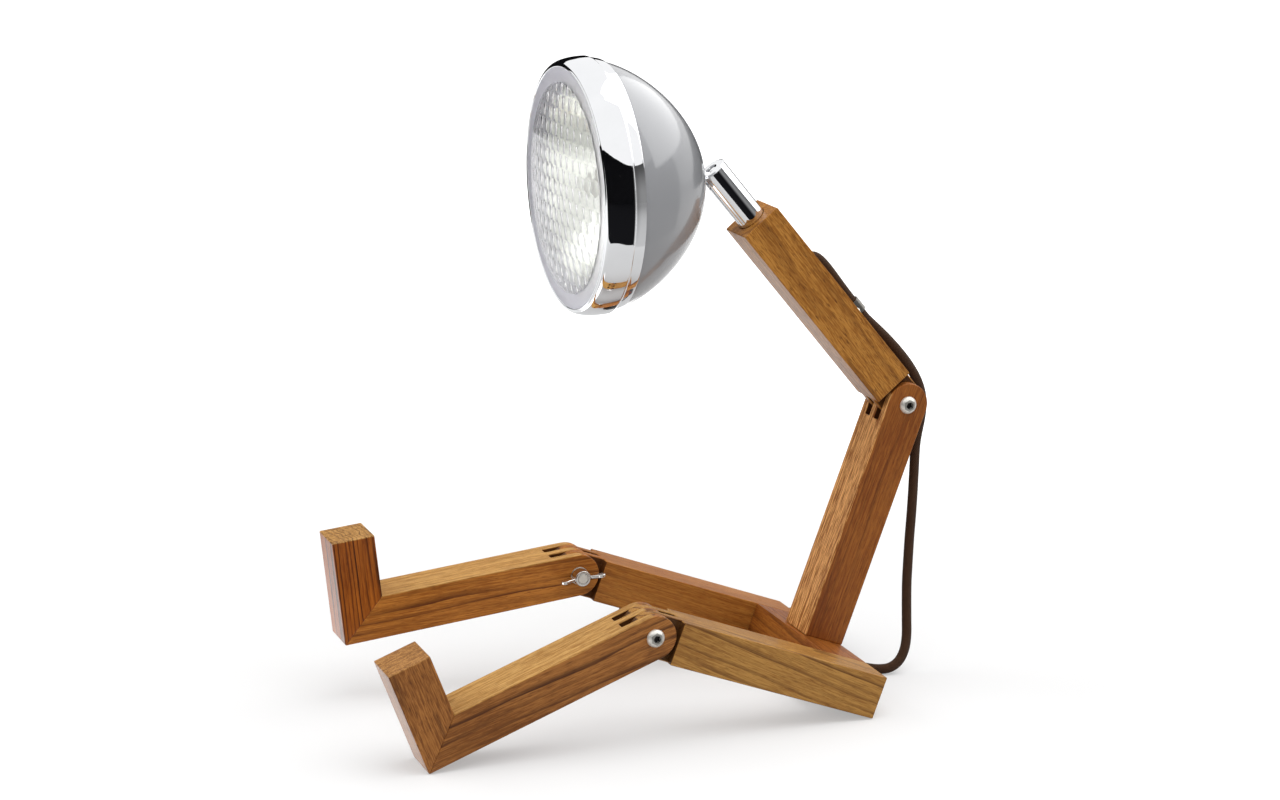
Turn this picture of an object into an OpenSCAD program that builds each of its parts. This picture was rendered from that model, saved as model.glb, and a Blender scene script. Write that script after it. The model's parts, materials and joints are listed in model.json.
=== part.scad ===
// Desk lamp in the shape of a seated robot: hardwood beams joined by finger joints
// on clamped bolts, with a headlamp on a ball joint for its head.
// It sits on the back edge of its hips and on its left heel and faces -Y.
// The finger joints turn on axes along X. The robot's left side is +X.

/* [Beams] */
// Height of the beams' section, in the plane in which they fold
beam_h = 26; // [22:0.5:30]
// Width of the beams' section, along the joint axes
beam_w = 30.5; // [27:0.5:36]
// Width over both thighs
hip_w = 163; // [150:1:180]
// Length of a thigh from its back end to its shoulder
thigh_l = 136; // [120:1:150]
// Height of the trunk from its base to the waist axis
trunk_l = 151.5; // [130:0.5:170]
// Length of the arm from the waist axis to its top end
arm_l = 151.5; // [140:0.5:170]
// Length of a shin from the knee axis to the sole
shin_l = 149; // [130:1:165]
// Length of a foot from heel to toe
foot_l = 64; // [50:1:80]

/* [Pose] */
// Slope of the thighs up from the floor
thigh_tilt = 20.5; // [17:0.5:24]
// Lean of the arm forward of upright
arm_lean = 39.5; // [35:0.5:45]
// Slope of the right shin down from level
right_shin_drop = 6; // [3:0.5:15]
// Slope of the head's axis down from level
head_drop = 1; // [0:0.5:4]

/* [Finger joints] */
// Gap from a round finger end to the shoulder that it faces
shoulder_gap = 1.5; // [1:0.1:2.5]
// Side gap between neighbouring fingers
finger_gap = 0.3; // [0.2:0.05:0.5]

/* [Bolts and wing nuts] */
// Diameter of the joint bolts
bolt_d = 6; // [5:0.5:7]
// Radial gap of a bolt in its holes
bolt_play = 0.05; // [0.03:0.01:0.1]
// Diameter of a bolt's button head
bolt_head_d = 10.8; // [10:0.1:12]
// Height of a bolt's button head
bolt_head_h = 3.3; // [2.5:0.1:4]
// Width across the flats of a bolt's socket
bolt_socket = 4; // [3:0.5:5]
// Diameter of the washer under a wing nut
washer_d = 11; // [10:0.5:14]
// Thickness of that washer
washer_t = 1; // [0.8:0.1:1.6]
// Diameter of a wing nut's boss
nut_d = 10.4; // [9.5:0.1:12]
// Height of a wing nut's boss
nut_h = 7; // [6:0.5:9]
// Span over the wings of a wing nut
wing_span = 28.5; // [24:0.5:33]

/* [Dowels and trunk screw] */
// Diameter of the dowels in the hips
dowel_d = 8; // [6:0.5:9]
// Length of those dowels
dowel_l = 30; // [24:1:36]
// Diameter of the dowels across a foot's mitre
foot_dowel_d = 6; // [4:0.5:7]
// Length of those dowels
foot_dowel_l = 20; // [14:1:24]
// Shank diameter of the screw that holds the trunk
trunk_screw_d = 6; // [5:0.5:7]
// Length of that screw
trunk_screw_l = 60; // [50:1:80]

/* [Neck] */
// Outer diameter of the neck tube
neck_d = 17; // [16:0.1:17.4]
// Length of the neck tube that stands out of the arm
neck_out = 40; // [36:0.5:46]
// Length of the neck tube inside the arm
neck_in = 14; // [12:0.5:18]
// Diameter of the swivel ball
ball_d = 12; // [11:0.1:12.4]
// Depth of the ball's centre below the tube's top end
ball_depth = 6.3; // [6.2:0.1:6.6]
// Outer diameter of the hollow stem between ball and head
stem_d = 6; // [5:0.1:6.2]
// Bore for the wires through ball and stem
stem_bore = 3.6; // [3:0.1:4]
// Diameter of the hollow bolt that holds the neck tube
nipple_d = 10; // [9:0.1:10]
// Bore of that hollow bolt
nipple_bore = 5; // [4:0.1:6]

/* [Head] */
// Distance from the ball's centre to the front of the bezel
head_reach = 94; // [90:0.5:98]
// Radius of the shell at its mouth
shell_r = 71.4; // [66:0.1:74]
// How far the bezel stands out beyond the shell
bezel_stand = 3.3; // [3:0.1:4]
// Width of the bezel's rounded lip, from its widest place to the opening
lip_w = 5.6; // [5:0.1:7]
// Length of the bezel from front to back
bezel_l = 23.3; // [20:0.1:26]
// Wall of the bezel
bezel_t = 1; // [0.8:0.1:1.2]
// Depth of the shell's dome
shell_depth = 59.3; // [50:0.1:60]
// Wall of the shell
shell_t = 1.2; // [0.8:0.1:1.5]
// Thickness of the lens at its rim
lens_t = 3; // [2.5:0.1:4]
// Rise of the lens at its middle
lens_rise = 5; // [3:0.5:6]
// Radius of the reflector's neck
reflector_neck_r = 13; // [11:0.5:16]
// Diameter of the bulb's capsule
bulb_d = 16; // [14:0.5:18]

/* [Cord and plug] */
// Diameter of the textile cord
cord_d = 6; // [5:0.1:6]
// Length of the switch on the cord
switch_l = 58; // [50:1:64]
// Width of that switch
switch_w = 22; // [20:1:26]
// Height of that switch
switch_h = 17; // [15:1:20]
// Diameter of the plug's pins
pin_d = 4; // [3.8:0.1:4.8]
// Distance between the plug's pins
pin_pitch = 19; // [18:0.5:20]

/* [Hidden] */
$fn = 48;
eps = 0.01;

// Colours
wood_light = "#c08a4a";
wood_mid = "#a56a35";
wood_dark = "#8a4f2a";
steel = "#d8d8d8";
chrome = "#e8ebee";
brass = "#c9a24b";
lacquer = "#a6a8aa";
dark_plastic = "#2b2420";
textile = "#4a2e1f";

// Clearances between fitted pieces
slip = 0.05;      // parts that slide together
seat_gap = 0.2;   // round parts that turn in each other

// Joint geometry
beam_r = beam_h / 2;
finger_w = beam_w / 5;
shoulder = beam_r + shoulder_gap;
bolt_hole_d = bolt_d + 2 * bolt_play;
knee_x = (hip_w - beam_w) / 2;
bar_depth = beam_w;
bar_l = hip_w - 2 * beam_w;

// The knee and waist axes, seen in the hips' own frame (back bottom edge at 0, thighs along -Y)
knee_back = thigh_l + shoulder;
waist_y = -beam_r;
waist_z = beam_h + trunk_l;

// The hips' frame leans back by thigh_tilt
function from_hips(y, z) = [y * cos(thigh_tilt) + z * sin(thigh_tilt),
                            z * cos(thigh_tilt) - y * sin(thigh_tilt)];
knee = from_hips(-knee_back, beam_r);
waist = from_hips(waist_y, waist_z);

// The left heel stands on the floor
left_shin_drop = asin(knee[1] / norm([shin_l, beam_r])) - atan2(beam_r, shin_l);
toe_rise = foot_l - beam_r;
function toe_front(drop) = knee[0] - shin_l * cos(drop) - toe_rise * sin(drop);
front_y = min(toe_front(left_shin_drop), toe_front(right_shin_drop));
back_y = waist[0] + beam_r;
// Shift that puts the origin at the bottom centre of the lamp
shift_y = -(front_y + back_y) / 2;

// Frames of the parts
module hips_frame() translate([0, shift_y, 0]) rotate([-thigh_tilt, 0, 0]) children();
module waist_frame(lean) translate([0, shift_y + waist[0], waist[1]]) rotate([lean, 0, 0]) children();
module knee_frame(side, drop)
    translate([side * knee_x, shift_y + knee[0], knee[1]]) rotate([drop, 0, 0]) children();
// Ball centre, measured up the arm
ball_z = arm_l + neck_out - ball_depth;
ball = [waist[0] - ball_z * sin(arm_lean), waist[1] + ball_z * cos(arm_lean)];
// Head frame: +Z runs forward out of the lens, the ball's centre is its origin
module head_frame()
    translate([0, shift_y + ball[0], ball[1]]) rotate([90 + head_drop, 0, 0]) children();

// Two-dimensional side view of a finger: a round end about the axis and a shank to the shoulder
module finger_outline() {
    difference() {
        union() {
            circle(r = beam_r);
            translate([-beam_r, 0]) square([beam_h, shoulder + eps]);
        }
        circle(d = bolt_hole_d);
    }
}

// Beam that rises from a finger joint on the X axis to the height l.
// first is 0 for three outer fingers and 1 for two inner ones.
module jointed_beam(l, first) {
    for (i = [first:2:4]) {
        x0 = -beam_w / 2 + i * finger_w + (i == 0 ? 0 : finger_gap / 2);
        x1 = -beam_w / 2 + (i + 1) * finger_w - (i == 4 ? 0 : finger_gap / 2);
        translate([x0, 0, 0]) rotate([90, 0, 90]) linear_extrude(x1 - x0) finger_outline();
    }
    translate([-beam_w / 2, -beam_r, shoulder]) cube([beam_w, beam_h, l - shoulder]);
}

// Dowels across the hip joints, and from the hip bar up into the trunk
module hip_dowel_places() {
    for (side = [-1, 1], y = [-bar_depth * 0.27, -bar_depth * 0.73])
        translate([side * bar_l / 2, y, beam_r]) rotate([0, 90, 0]) children();
    for (side = [-1, 1])
        translate([side * beam_w * 0.3, waist_y, beam_h]) children();
}
module hip_dowels(d) hip_dowel_places() cylinder(d = d, h = dowel_l, center = true);

module thigh(side) {
    hips_frame() difference() {
        translate([side * knee_x, -knee_back, beam_r]) rotate([-90, 0, 0]) jointed_beam(knee_back, 1);
        hip_dowels(dowel_d + 2 * slip);
    }
}
module thigh_left() color(wood_light) thigh(1);
module thigh_right() color(wood_light) thigh(-1);

module hip_bar() {
    color(wood_mid) hips_frame() difference() {
        translate([-bar_l / 2, -bar_depth, 0]) cube([bar_l, bar_depth, beam_h]);
        hip_dowels(dowel_d + 2 * slip);
        trunk_screw_shape(slip);
    }
}

module frame_dowels() color(wood_light) hips_frame() hip_dowels(dowel_d);

// Countersunk screw from below; grow widens it for its hole
screw_head_d = 2 * trunk_screw_d;
screw_head_h = trunk_screw_d / 2;
module trunk_screw_shape(grow) {
    translate([0, waist_y, 0]) {
        cylinder(d = trunk_screw_d + 2 * grow, h = trunk_screw_l + grow);
        cylinder(d1 = screw_head_d + 2 * grow, d2 = trunk_screw_d + 2 * grow, h = screw_head_h + grow);
    }
}
module trunk_screw() {
    color(steel) hips_frame() difference() {
        trunk_screw_shape(0);
        translate([0, waist_y, -eps]) cylinder(d = bolt_socket, h = screw_head_h * 0.8, $fn = 6);
    }
}

module trunk() {
    color(wood_dark) hips_frame() difference() {
        translate([0, waist_y, waist_z]) rotate([180, 0, 0]) jointed_beam(trunk_l, 0);
        hip_dowels(dowel_d + 2 * slip);
        trunk_screw_shape(slip);
    }
}

// Shin and foot meet in a mitre at the heel. The profile is drawn with the knee axis at 0.
heel = [-shin_l, -beam_r];
instep = [-shin_l + beam_h, beam_r];
toe_y = -beam_r + foot_l;
mitre_mid = (heel + instep) / 2;

module foot_dowels_shape(d) {
    for (x = [-1, 1] * beam_w / 4)
        translate([x, mitre_mid[0], mitre_mid[1]]) rotate([45, 0, 0])
            cylinder(d = d, h = foot_dowel_l, center = true);
}

module shin(side, drop) {
    knee_frame(side, drop) difference() {
        rotate([90, 0, 0]) jointed_beam(shin_l, 0);
        // The mitre cut
        translate([-beam_w, 0, 0]) rotate([90, 0, 90]) linear_extrude(2 * beam_w)
            polygon([heel, instep, instep + [0, beam_h], heel + [-beam_h, beam_h * 2],
                heel + [-beam_h, -beam_h]]);
        foot_dowels_shape(foot_dowel_d + 2 * slip);
    }
}
module shin_left() color(wood_mid) shin(1, left_shin_drop);
module shin_right() color(wood_mid) shin(-1, right_shin_drop);

module foot(side, drop) {
    knee_frame(side, drop) difference() {
        translate([-beam_w / 2, 0, 0]) rotate([90, 0, 90]) linear_extrude(beam_w)
            polygon([heel, instep, [instep[0], toe_y], [heel[0], toe_y]]);
        foot_dowels_shape(foot_dowel_d + 2 * slip);
    }
}
module foot_left() color(wood_dark) foot(1, left_shin_drop);
module foot_right() color(wood_dark) foot(-1, right_shin_drop);
module foot_dowels_left() color(wood_light) knee_frame(1, left_shin_drop) foot_dowels_shape(foot_dowel_d);
module foot_dowels_right() color(wood_light) knee_frame(-1, right_shin_drop) foot_dowels_shape(foot_dowel_d);

// Joint hardware along X: the bolt's head is on the +X side, the wing nut on the -X side
bolt_l = beam_w + washer_t + nut_h;
module bolt_shape() {
    rotate([0, 90, 0]) difference() {
        union() {
            translate([0, 0, beam_w / 2 - bolt_l]) cylinder(d = bolt_d, h = bolt_l);
            // Button head: a cap with a flat face
            translate([0, 0, beam_w / 2]) rotate_extrude() polygon(concat([[0, 0]],
                [for (a = [0:10:70]) [bolt_head_d / 2 * cos(a) , bolt_head_h * sin(a) / sin(70)]],
                [[0, bolt_head_h]]));
        }
        translate([0, 0, beam_w / 2 + bolt_head_h * 0.35])
            cylinder(r = bolt_socket / 2 / cos(30), h = bolt_head_h, $fn = 6);
    }
}
module washer_shape() {
    translate([-beam_w / 2 - washer_t, 0, 0]) rotate([0, 90, 0]) difference() {
        cylinder(d = washer_d, h = washer_t);
        translate([0, 0, -eps]) cylinder(d = bolt_hole_d, h = washer_t + 2 * eps);
    }
}
// Wing nut seen along its axis: u runs out along a wing, v away from the wood
wing_t = 1.9;
wing_h = nut_h + 2.2;
wing_tip_r = 2.6;
module wing_outline() {
    translate([wing_span / 2 - wing_tip_r, wing_h - wing_tip_r]) circle(r = wing_tip_r);
    polygon([[nut_d / 2 - 1.5, 1.2], [wing_span / 2 - wing_tip_r - 1, 2.6],
        [wing_span / 2 - 0.5, wing_h - wing_tip_r - 1.2], [wing_span / 2 - wing_tip_r, wing_h],
        [wing_span / 2 - wing_tip_r - 2, wing_h - 1], [nut_d / 2 - 1.5, nut_h - 0.6]]);
}
module wing_nut_shape(turn) {
    translate([-beam_w / 2 - washer_t, 0, 0]) rotate([turn, 0, 0]) rotate([0, -90, 0]) difference() {
        union() {
            cylinder(d1 = nut_d, d2 = nut_d - 0.8, h = nut_h);
            for (a = [0, 180]) rotate([0, 0, a]) translate([0, wing_t / 2, 0]) rotate([90, 0, 0])
                linear_extrude(wing_t) wing_outline();
        }
        translate([0, 0, -eps]) cylinder(d = bolt_hole_d, h = nut_h + 2 * eps);
    }
}

// The knees' wing nuts face each other, so the right knee's hardware is turned round
knee_nut_turn = 91;
waist_nut_turn = 10;
module at_knee(side) {
    if (side > 0) knee_frame(1, left_shin_drop) children();
    else knee_frame(-1, right_shin_drop) rotate([0, 0, 180]) children();
}
module knee_bolt_left() color(steel) at_knee(1) bolt_shape();
module knee_bolt_right() color(steel) at_knee(-1) bolt_shape();
module waist_bolt() color(steel) waist_frame(-thigh_tilt) bolt_shape();
module knee_washer_left() color(steel) at_knee(1) washer_shape();
module knee_washer_right() color(steel) at_knee(-1) washer_shape();
module waist_washer() color(steel) waist_frame(-thigh_tilt) washer_shape();
module wing_nut_left() color(steel) at_knee(1) wing_nut_shape(knee_nut_turn);
module wing_nut_right() color(steel) at_knee(-1) wing_nut_shape(knee_nut_turn);
module wing_nut_waist() color(steel) waist_frame(-thigh_tilt) wing_nut_shape(waist_nut_turn);

// Neck: the tube turns in the arm about a hollow bolt that is screwed into an insert
neck_hole_d = neck_d + 2 * seat_gap;
neck_foot_z = arm_l - neck_in;
neck_floor = 3;
neck_bore_d = ball_d + 2 * seat_gap;
nipple_flange_t = 2;
neck_washer_t = 1;
insert_d = 14;
insert_l = 10;
insert_z = neck_foot_z - neck_washer_t - insert_l;
pocket_z = insert_z - 4;
stem_slot_d = stem_d + 2 * (seat_gap + 0.2);
// The cord's slanted hole: it starts at the pocket and leaves through the arm's back
exit_angle = 38;
exit_top_z = pocket_z + 3;
bush_d = 8;
bush_wall_gap = 0.1;
module exit_axis() translate([0, 0, exit_top_z]) rotate([-180 + exit_angle, 0, 0]) children();

module arm() {
    color(wood_mid) waist_frame(arm_lean) difference() {
        jointed_beam(arm_l, 1);
        translate([0, 0, neck_foot_z - neck_washer_t]) cylinder(d = neck_hole_d, h = arm_l);
        translate([0, 0, insert_z]) cylinder(d = insert_d + 2 * slip, h = arm_l);
        translate([0, 0, pocket_z]) cylinder(d = nipple_d, h = arm_l);
        exit_axis() cylinder(d = bush_d + 2 * slip, h = arm_l);
        saddle_screw_places() translate([0, 0, -saddle_screw_l - slip])
            cylinder(d = saddle_screw_d + 2 * slip, h = arm_l);
    }
}

module neck_insert() {
    color(brass) waist_frame(arm_lean) translate([0, 0, insert_z]) difference() {
        cylinder(d = insert_d, h = insert_l);
        translate([0, 0, -eps]) cylinder(d = nipple_d + 2 * slip, h = insert_l + 2 * eps);
    }
}
module neck_washer() {
    color(brass) waist_frame(arm_lean) translate([0, 0, neck_foot_z - neck_washer_t]) difference() {
        cylinder(d = neck_d - 1, h = neck_washer_t);
        translate([0, 0, -eps]) cylinder(d = nipple_d + 2 * slip, h = neck_washer_t + 2 * eps);
    }
}
module neck_nipple() {
    color(brass) waist_frame(arm_lean) difference() {
        union() {
            translate([0, 0, insert_z]) cylinder(d = nipple_d, h = neck_foot_z + neck_floor - insert_z);
            translate([0, 0, neck_foot_z + neck_floor])
                cylinder(d = neck_bore_d - 2 * seat_gap, h = nipple_flange_t);
        }
        translate([0, 0, insert_z - eps]) cylinder(d = nipple_bore, h = arm_l);
    }
}
module neck_tube() {
    color(chrome) waist_frame(arm_lean) difference() {
        union() {
            translate([0, 0, neck_foot_z]) cylinder(d = neck_d, h = neck_in + neck_out - 0.8);
            translate([0, 0, arm_l + neck_out - 0.8 - eps])
                cylinder(d1 = neck_d, d2 = neck_d - 1.6, h = 0.8 + eps);
        }
        translate([0, 0, neck_foot_z - eps]) cylinder(d = nipple_d + 2 * bolt_play, h = neck_in);
        translate([0, 0, neck_foot_z + neck_floor])
            cylinder(d = neck_bore_d, h = ball_z - neck_foot_z - neck_floor);
        translate([0, 0, ball_z]) sphere(d = neck_bore_d);
        // Slot for the stem, from straight up to level with the ball, on the front side
        translate([0, 0, ball_z]) {
            cylinder(d = stem_slot_d, h = neck_d);
            rotate([90, 0, 0]) cylinder(d = stem_slot_d, h = neck_d);
            translate([-stem_slot_d / 2, -neck_d, 0]) cube([stem_slot_d, neck_d, neck_d]);
        }
    }
}
// Nylon sleeve and cup that press the ball against the tube's top
cup_l = 4;
cup_z = ball_z - ball_d / 2 - 1.6;
sleeve_z = neck_foot_z + neck_floor + nipple_flange_t;
module pressure_sleeve() {
    color("#e9e4d6") waist_frame(arm_lean) translate([0, 0, sleeve_z]) difference() {
        cylinder(d = neck_bore_d - 2 * seat_gap, h = cup_z - sleeve_z);
        translate([0, 0, -eps]) cylinder(d = neck_bore_d - 4, h = cup_z);
    }
}
module ball_cup() {
    color(brass) waist_frame(arm_lean) difference() {
        translate([0, 0, cup_z]) cylinder(d = neck_bore_d - 2 * seat_gap, h = cup_l);
        translate([0, 0, cup_z - eps]) cylinder(d = nipple_bore, h = cup_l + 2 * eps);
        translate([0, 0, ball_z]) sphere(d = ball_d + seat_gap);
    }
}

// Ball and stem of the head
stem_in_ball = ball_d / 2 - 2.5;
collar_t = 0.9;
shell_flat = 0.99;
bezel_r = shell_r + bezel_stand;
opening_r = bezel_r - lip_w;
shell_mouth = head_reach - bezel_l + 0.4;
shell_back = shell_mouth - shell_depth * shell_flat;
collar_z = shell_back - collar_t;
collar_d = 10;
bracket_t = 1;
nut_t = 3;
stem_end = shell_back + shell_t + bracket_t + nut_t + 1.5;
module swivel_ball() {
    color(chrome) head_frame() difference() {
        sphere(d = ball_d);
        translate([0, 0, -ball_d]) cylinder(d = stem_bore, h = 2 * ball_d);
        translate([0, 0, ball_d / 2 - stem_in_ball]) cylinder(d = stem_d + 2 * slip, h = ball_d);
    }
}
module head_stem() {
    color(chrome) head_frame() difference() {
        union() {
            translate([0, 0, ball_d / 2 - stem_in_ball])
                cylinder(d = stem_d, h = stem_end - ball_d / 2 + stem_in_ball);
            translate([0, 0, collar_z]) cylinder(d = collar_d, h = collar_t);
        }
        translate([0, 0, -eps]) cylinder(d = stem_bore, h = stem_end + 1);
    }
}
module stem_nut() {
    color(steel) head_frame() translate([0, 0, shell_back + shell_t + bracket_t]) difference() {
        cylinder(d = 11.5, h = nut_t, $fn = 6);
        translate([0, 0, -eps]) cylinder(d = stem_d + 2 * slip, h = nut_t + 2 * eps);
    }
}

// Outer radius of the shell at the share u of its depth, 0 at the mouth and 1 at the back
function shell_radius(u) = shell_r * pow(1 - pow(u, 1.413), 0.504);
shell_skirt = 5;
function shell_curve(inset) = [for (i = [0:22]) let (u = shell_flat * i / 22)
    [shell_radius(u) - inset * (1 - u * u), shell_mouth - shell_depth * u + inset * u * u]];
module head_shell() {
    outer = shell_curve(0);
    inner = shell_curve(shell_t);
    color(lacquer) head_frame() difference() {
        rotate_extrude($fn = 96) difference() {
            polygon(concat([[0, shell_mouth + shell_skirt], [shell_r, shell_mouth + shell_skirt]], outer,
                [[0, shell_back]]));
            polygon(concat([[0, shell_mouth + shell_skirt + eps],
                [shell_r - shell_t, shell_mouth + shell_skirt + eps]], inner,
                [[0, shell_back + shell_t]]));
        }
        cylinder(d = stem_d + 2 * slip, h = head_reach / 2);
        bezel_screw_place() cylinder(d = bezel_screw_d + 2 * slip, h = 2 * shell_r);
    }
}

// Chrome bezel: a rounded band behind the front lip, a step, and a narrow band over the shell
step_l = 16.3;
step_z = head_reach - step_l;
step_r = bezel_r - 0.7;
tail_r = step_r - 1.2;
bezel_back = head_reach - bezel_l;
band_front = head_reach - 0.6;
band_l = band_front - step_z - 1;
band_rise = 4.2;
// The band's profile from the angle first on, moved inward by inset
function bezel_curve(inset, first) = concat(
    [for (a = [first:10:90]) [bezel_r - inset - band_rise * (1 - sin(a)), band_front - band_l * (1 - cos(a))]],
    [[bezel_r - inset, step_z], [step_r - inset, step_z - 0.4], [step_r - inset, step_z - 3],
     [tail_r - inset, bezel_back]]);
module bezel() {
    outer = bezel_curve(0, 0);
    inner = bezel_curve(bezel_t, 30);
    color(chrome) head_frame() difference() {
        rotate_extrude($fn = 96)
            polygon(concat([[opening_r, lens_front], [opening_r, head_reach]], outer,
                [for (i = [len(inner) - 1:-1:0]) inner[i]],
                [[lens_r + 0.9, lens_front - 1], [lens_r + 0.1, lens_front]]));
        bezel_screw_place() cylinder(d = bezel_screw_d + 2 * slip, h = 2 * bezel_r);
    }
}
// Small screw under the bezel, through its narrow band into the shell's skirt
bezel_screw_d = 3;
screw_ring_z = bezel_back + 2.6;
module bezel_screw_place() translate([0, 0, screw_ring_z]) rotate([90, 0, 0]) children();
module bezel_screw() {
    color(steel) head_frame() bezel_screw_place() {
        translate([0, 0, shell_r - 5]) cylinder(d = bezel_screw_d, h = step_r - shell_r + 5 + eps);
        translate([0, 0, step_r]) cylinder(d1 = 5.2, d2 = 4, h = 1.4);
    }
}

// Lens, its gasket and the reflector lie in a stack behind the bezel's lip
lens_r = opening_r + 1;
lens_front = head_reach - bezel_t;
gasket_t = 1.5;
flange_t = 1;
function cap_z(r, base) = base + lens_rise * (1 - (r / opening_r) * (r / opening_r));
module lens() {
    color("#eef2f2") head_frame() rotate_extrude($fn = 96)
        polygon(concat([[lens_r, lens_front - lens_t], [lens_r, lens_front - 0.5], [lens_r - 0.5, lens_front],
                [opening_r - 0.6, lens_front]],
            [for (i = [11:-1:0]) let (r = (opening_r - 2) * i / 12) [r, cap_z(r, lens_front)]],
            [for (i = [0:11]) let (r = (opening_r - 4) * i / 12) [r, cap_z(r, lens_front - lens_t)]],
            [[opening_r - 3, lens_front - lens_t]]));
}
gasket_z = lens_front - lens_t - gasket_t;
module lens_gasket() {
    color("#26262a") head_frame() translate([0, 0, gasket_z]) difference() {
        cylinder(r = lens_r, h = gasket_t, $fn = 96);
        translate([0, 0, -eps]) cylinder(r = opening_r - 1.6, h = gasket_t + 2 * eps, $fn = 96);
    }
}
reflector_t = 0.8;
reflector_mouth_r = opening_r - 3;
reflector_l = 58;
reflector_back = head_reach - reflector_l;
reflector_top = gasket_z - flange_t;
function bowl_z(r) = reflector_back + (reflector_top - reflector_back)
    * (r * r - reflector_neck_r * reflector_neck_r)
    / (reflector_mouth_r * reflector_mouth_r - reflector_neck_r * reflector_neck_r);
module reflector() {
    steps = 20;
    radii = [for (i = [0:steps]) reflector_neck_r + (reflector_mouth_r - reflector_neck_r) * i / steps];
    color(chrome) head_frame() rotate_extrude($fn = 96)
        polygon(concat([for (r = radii) [r, bowl_z(r) + flange_t]], [[lens_r, gasket_z], [lens_r, reflector_top]],
            [for (i = [steps:-1:0]) [radii[i] + reflector_t, bowl_z(radii[i])]]));
}
// Spring clips that hold the stack in the bezel
clip_w = 9;
module retaining_clips() {
    color(steel) head_frame() for (a = [45:90:315]) rotate([0, 0, a]) translate([0, clip_w / 2, 0])
        rotate([90, 0, 0]) linear_extrude(clip_w) polygon([[lens_r - 2.6, reflector_top - 0.9],
            [lens_r - 2.6, reflector_top], [lens_r + 0.4, reflector_top], [bezel_r - bezel_t - 0.3, step_z + 3],
            [bezel_r - bezel_t - 0.9, step_z + 2.4], [lens_r - 0.3, reflector_top - 0.9]]);
}

// Bracket on the stem's nut, the holder between its legs, and the bulb
bracket_z = shell_back + shell_t;
holder_d = 17;
holder_gap = 12;
holder_z = bracket_z + holder_gap;
holder_l = 18;
leg_x = holder_d / 2 + slip;
module lamp_bracket() {
    color(steel) head_frame() {
        difference() {
            translate([0, 0, bracket_z]) cylinder(r = leg_x - 0.5, h = bracket_t);
            translate([0, 0, bracket_z - eps]) cylinder(d = stem_d + 2 * slip, h = bracket_t + 2 * eps);
        }
        for (side = [0, 180]) rotate([0, 0, side]) translate([0, 4, 0]) rotate([90, 0, 0]) linear_extrude(8)
            polygon([[leg_x - 2, bracket_z], [leg_x - 1, bracket_z], [leg_x + 1, bracket_z + 2.5],
                [leg_x + 1, holder_z + 10], [leg_x, holder_z + 10], [leg_x, bracket_z + 3.5],
                [leg_x - 1.4, bracket_z + bracket_t], [leg_x - 2, bracket_z + bracket_t]]);
    }
}
bulb_pin_d = 1.2;
bulb_pin_x = 4.5;
bulb_pin_l = 8;
bulb_base_l = 14;
bulb_capsule_l = 24;
module lamp_holder() {
    color("#efe9dc") head_frame() translate([0, 0, holder_z]) difference() {
        cylinder(d = holder_d, h = holder_l);
        for (side = [-1, 1]) translate([side * bulb_pin_x, 0, holder_l - bulb_pin_l - 1])
            cylinder(d = bulb_pin_d + 0.4, h = bulb_pin_l + 2);
        for (side = [-1, 1]) translate([side * bulb_pin_x / 2, 0, -eps]) cylinder(d = 2 * wire_d, h = 4);
    }
}
module bulb() {
    base_z = holder_z + holder_l;
    color("#f6f1df") head_frame() {
        translate([0, 0, base_z]) cylinder(d1 = bulb_d - 3, d2 = bulb_d - 1, h = bulb_base_l);
        translate([0, 0, base_z + bulb_base_l]) cylinder(d = bulb_d, h = bulb_capsule_l - bulb_d / 2);
        translate([0, 0, base_z + bulb_base_l + bulb_capsule_l - bulb_d / 2]) sphere(d = bulb_d);
        for (side = [-1, 1]) translate([side * bulb_pin_x, 0, base_z - bulb_pin_l]) cylinder(d = bulb_pin_d, h = bulb_pin_l + 1);
    }
}
// Two wires from the stem's bore to the holder
wire_d = 1.5;
wire_x = wire_d / 2 + 0.03;
module head_wires() {
    inside = 1.5;
    wire_l = holder_z + 3 - stem_end + inside;
    lean = atan2(bulb_pin_x / 2 - wire_x, wire_l);
    color("#7a4a3a") head_frame() for (side = [-1, 1])
        translate([side * wire_x, 0, stem_end - inside]) rotate([0, side * lean, 0])
            cylinder(d = wire_d, h = wire_l);
}

// Cord. A tube is swept along route points with one ring of corners at each point.
cord_sides = 8;
function unit(v) = v / norm(v);
function ring(p, t, side, r) = let (up = cross(side, t))
    [for (k = [0:cord_sides - 1]) p + r * (cos((k + 0.5) * 360 / cord_sides) * side
        + sin((k + 0.5) * 360 / cord_sides) * up)];
function tangent(route, i) = unit(route[min(i + 1, len(route) - 1)] - route[max(i - 1, 0)]);
function first_side(t) = unit(cross(t, abs(t[0]) > 0.9 ? [0, 0, 1] : [1, 0, 0]));
// The side vector is carried along the route, so the tube doesn't twist
function turned_side(side, t) = unit(side - (side * t) * t);
module tube(route) {
    n = len(route);
    m = cord_sides;
    tangents = [for (i = [0:n - 1]) tangent(route, i)];
    side_vectors = [for (i = 0, s = first_side(tangents[0]); i < n;
        i = i + 1, s = turned_side(s, tangents[min(i, n - 1)])) s];
    points = [for (i = [0:n - 1]) each ring(route[i], tangents[i], side_vectors[i], cord_d / 2)];
    faces = concat(
        [[for (k = [0:m - 1]) k]],
        [for (i = [0:n - 2], k = [0:m - 1])
            [i * m + k, (i + 1) * m + k, (i + 1) * m + (k + 1) % m, i * m + (k + 1) % m]],
        [[for (k = [m - 1:-1:0]) (n - 1) * m + k]]);
    polyhedron(points = points, faces = faces, convexity = 6);
}

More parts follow.
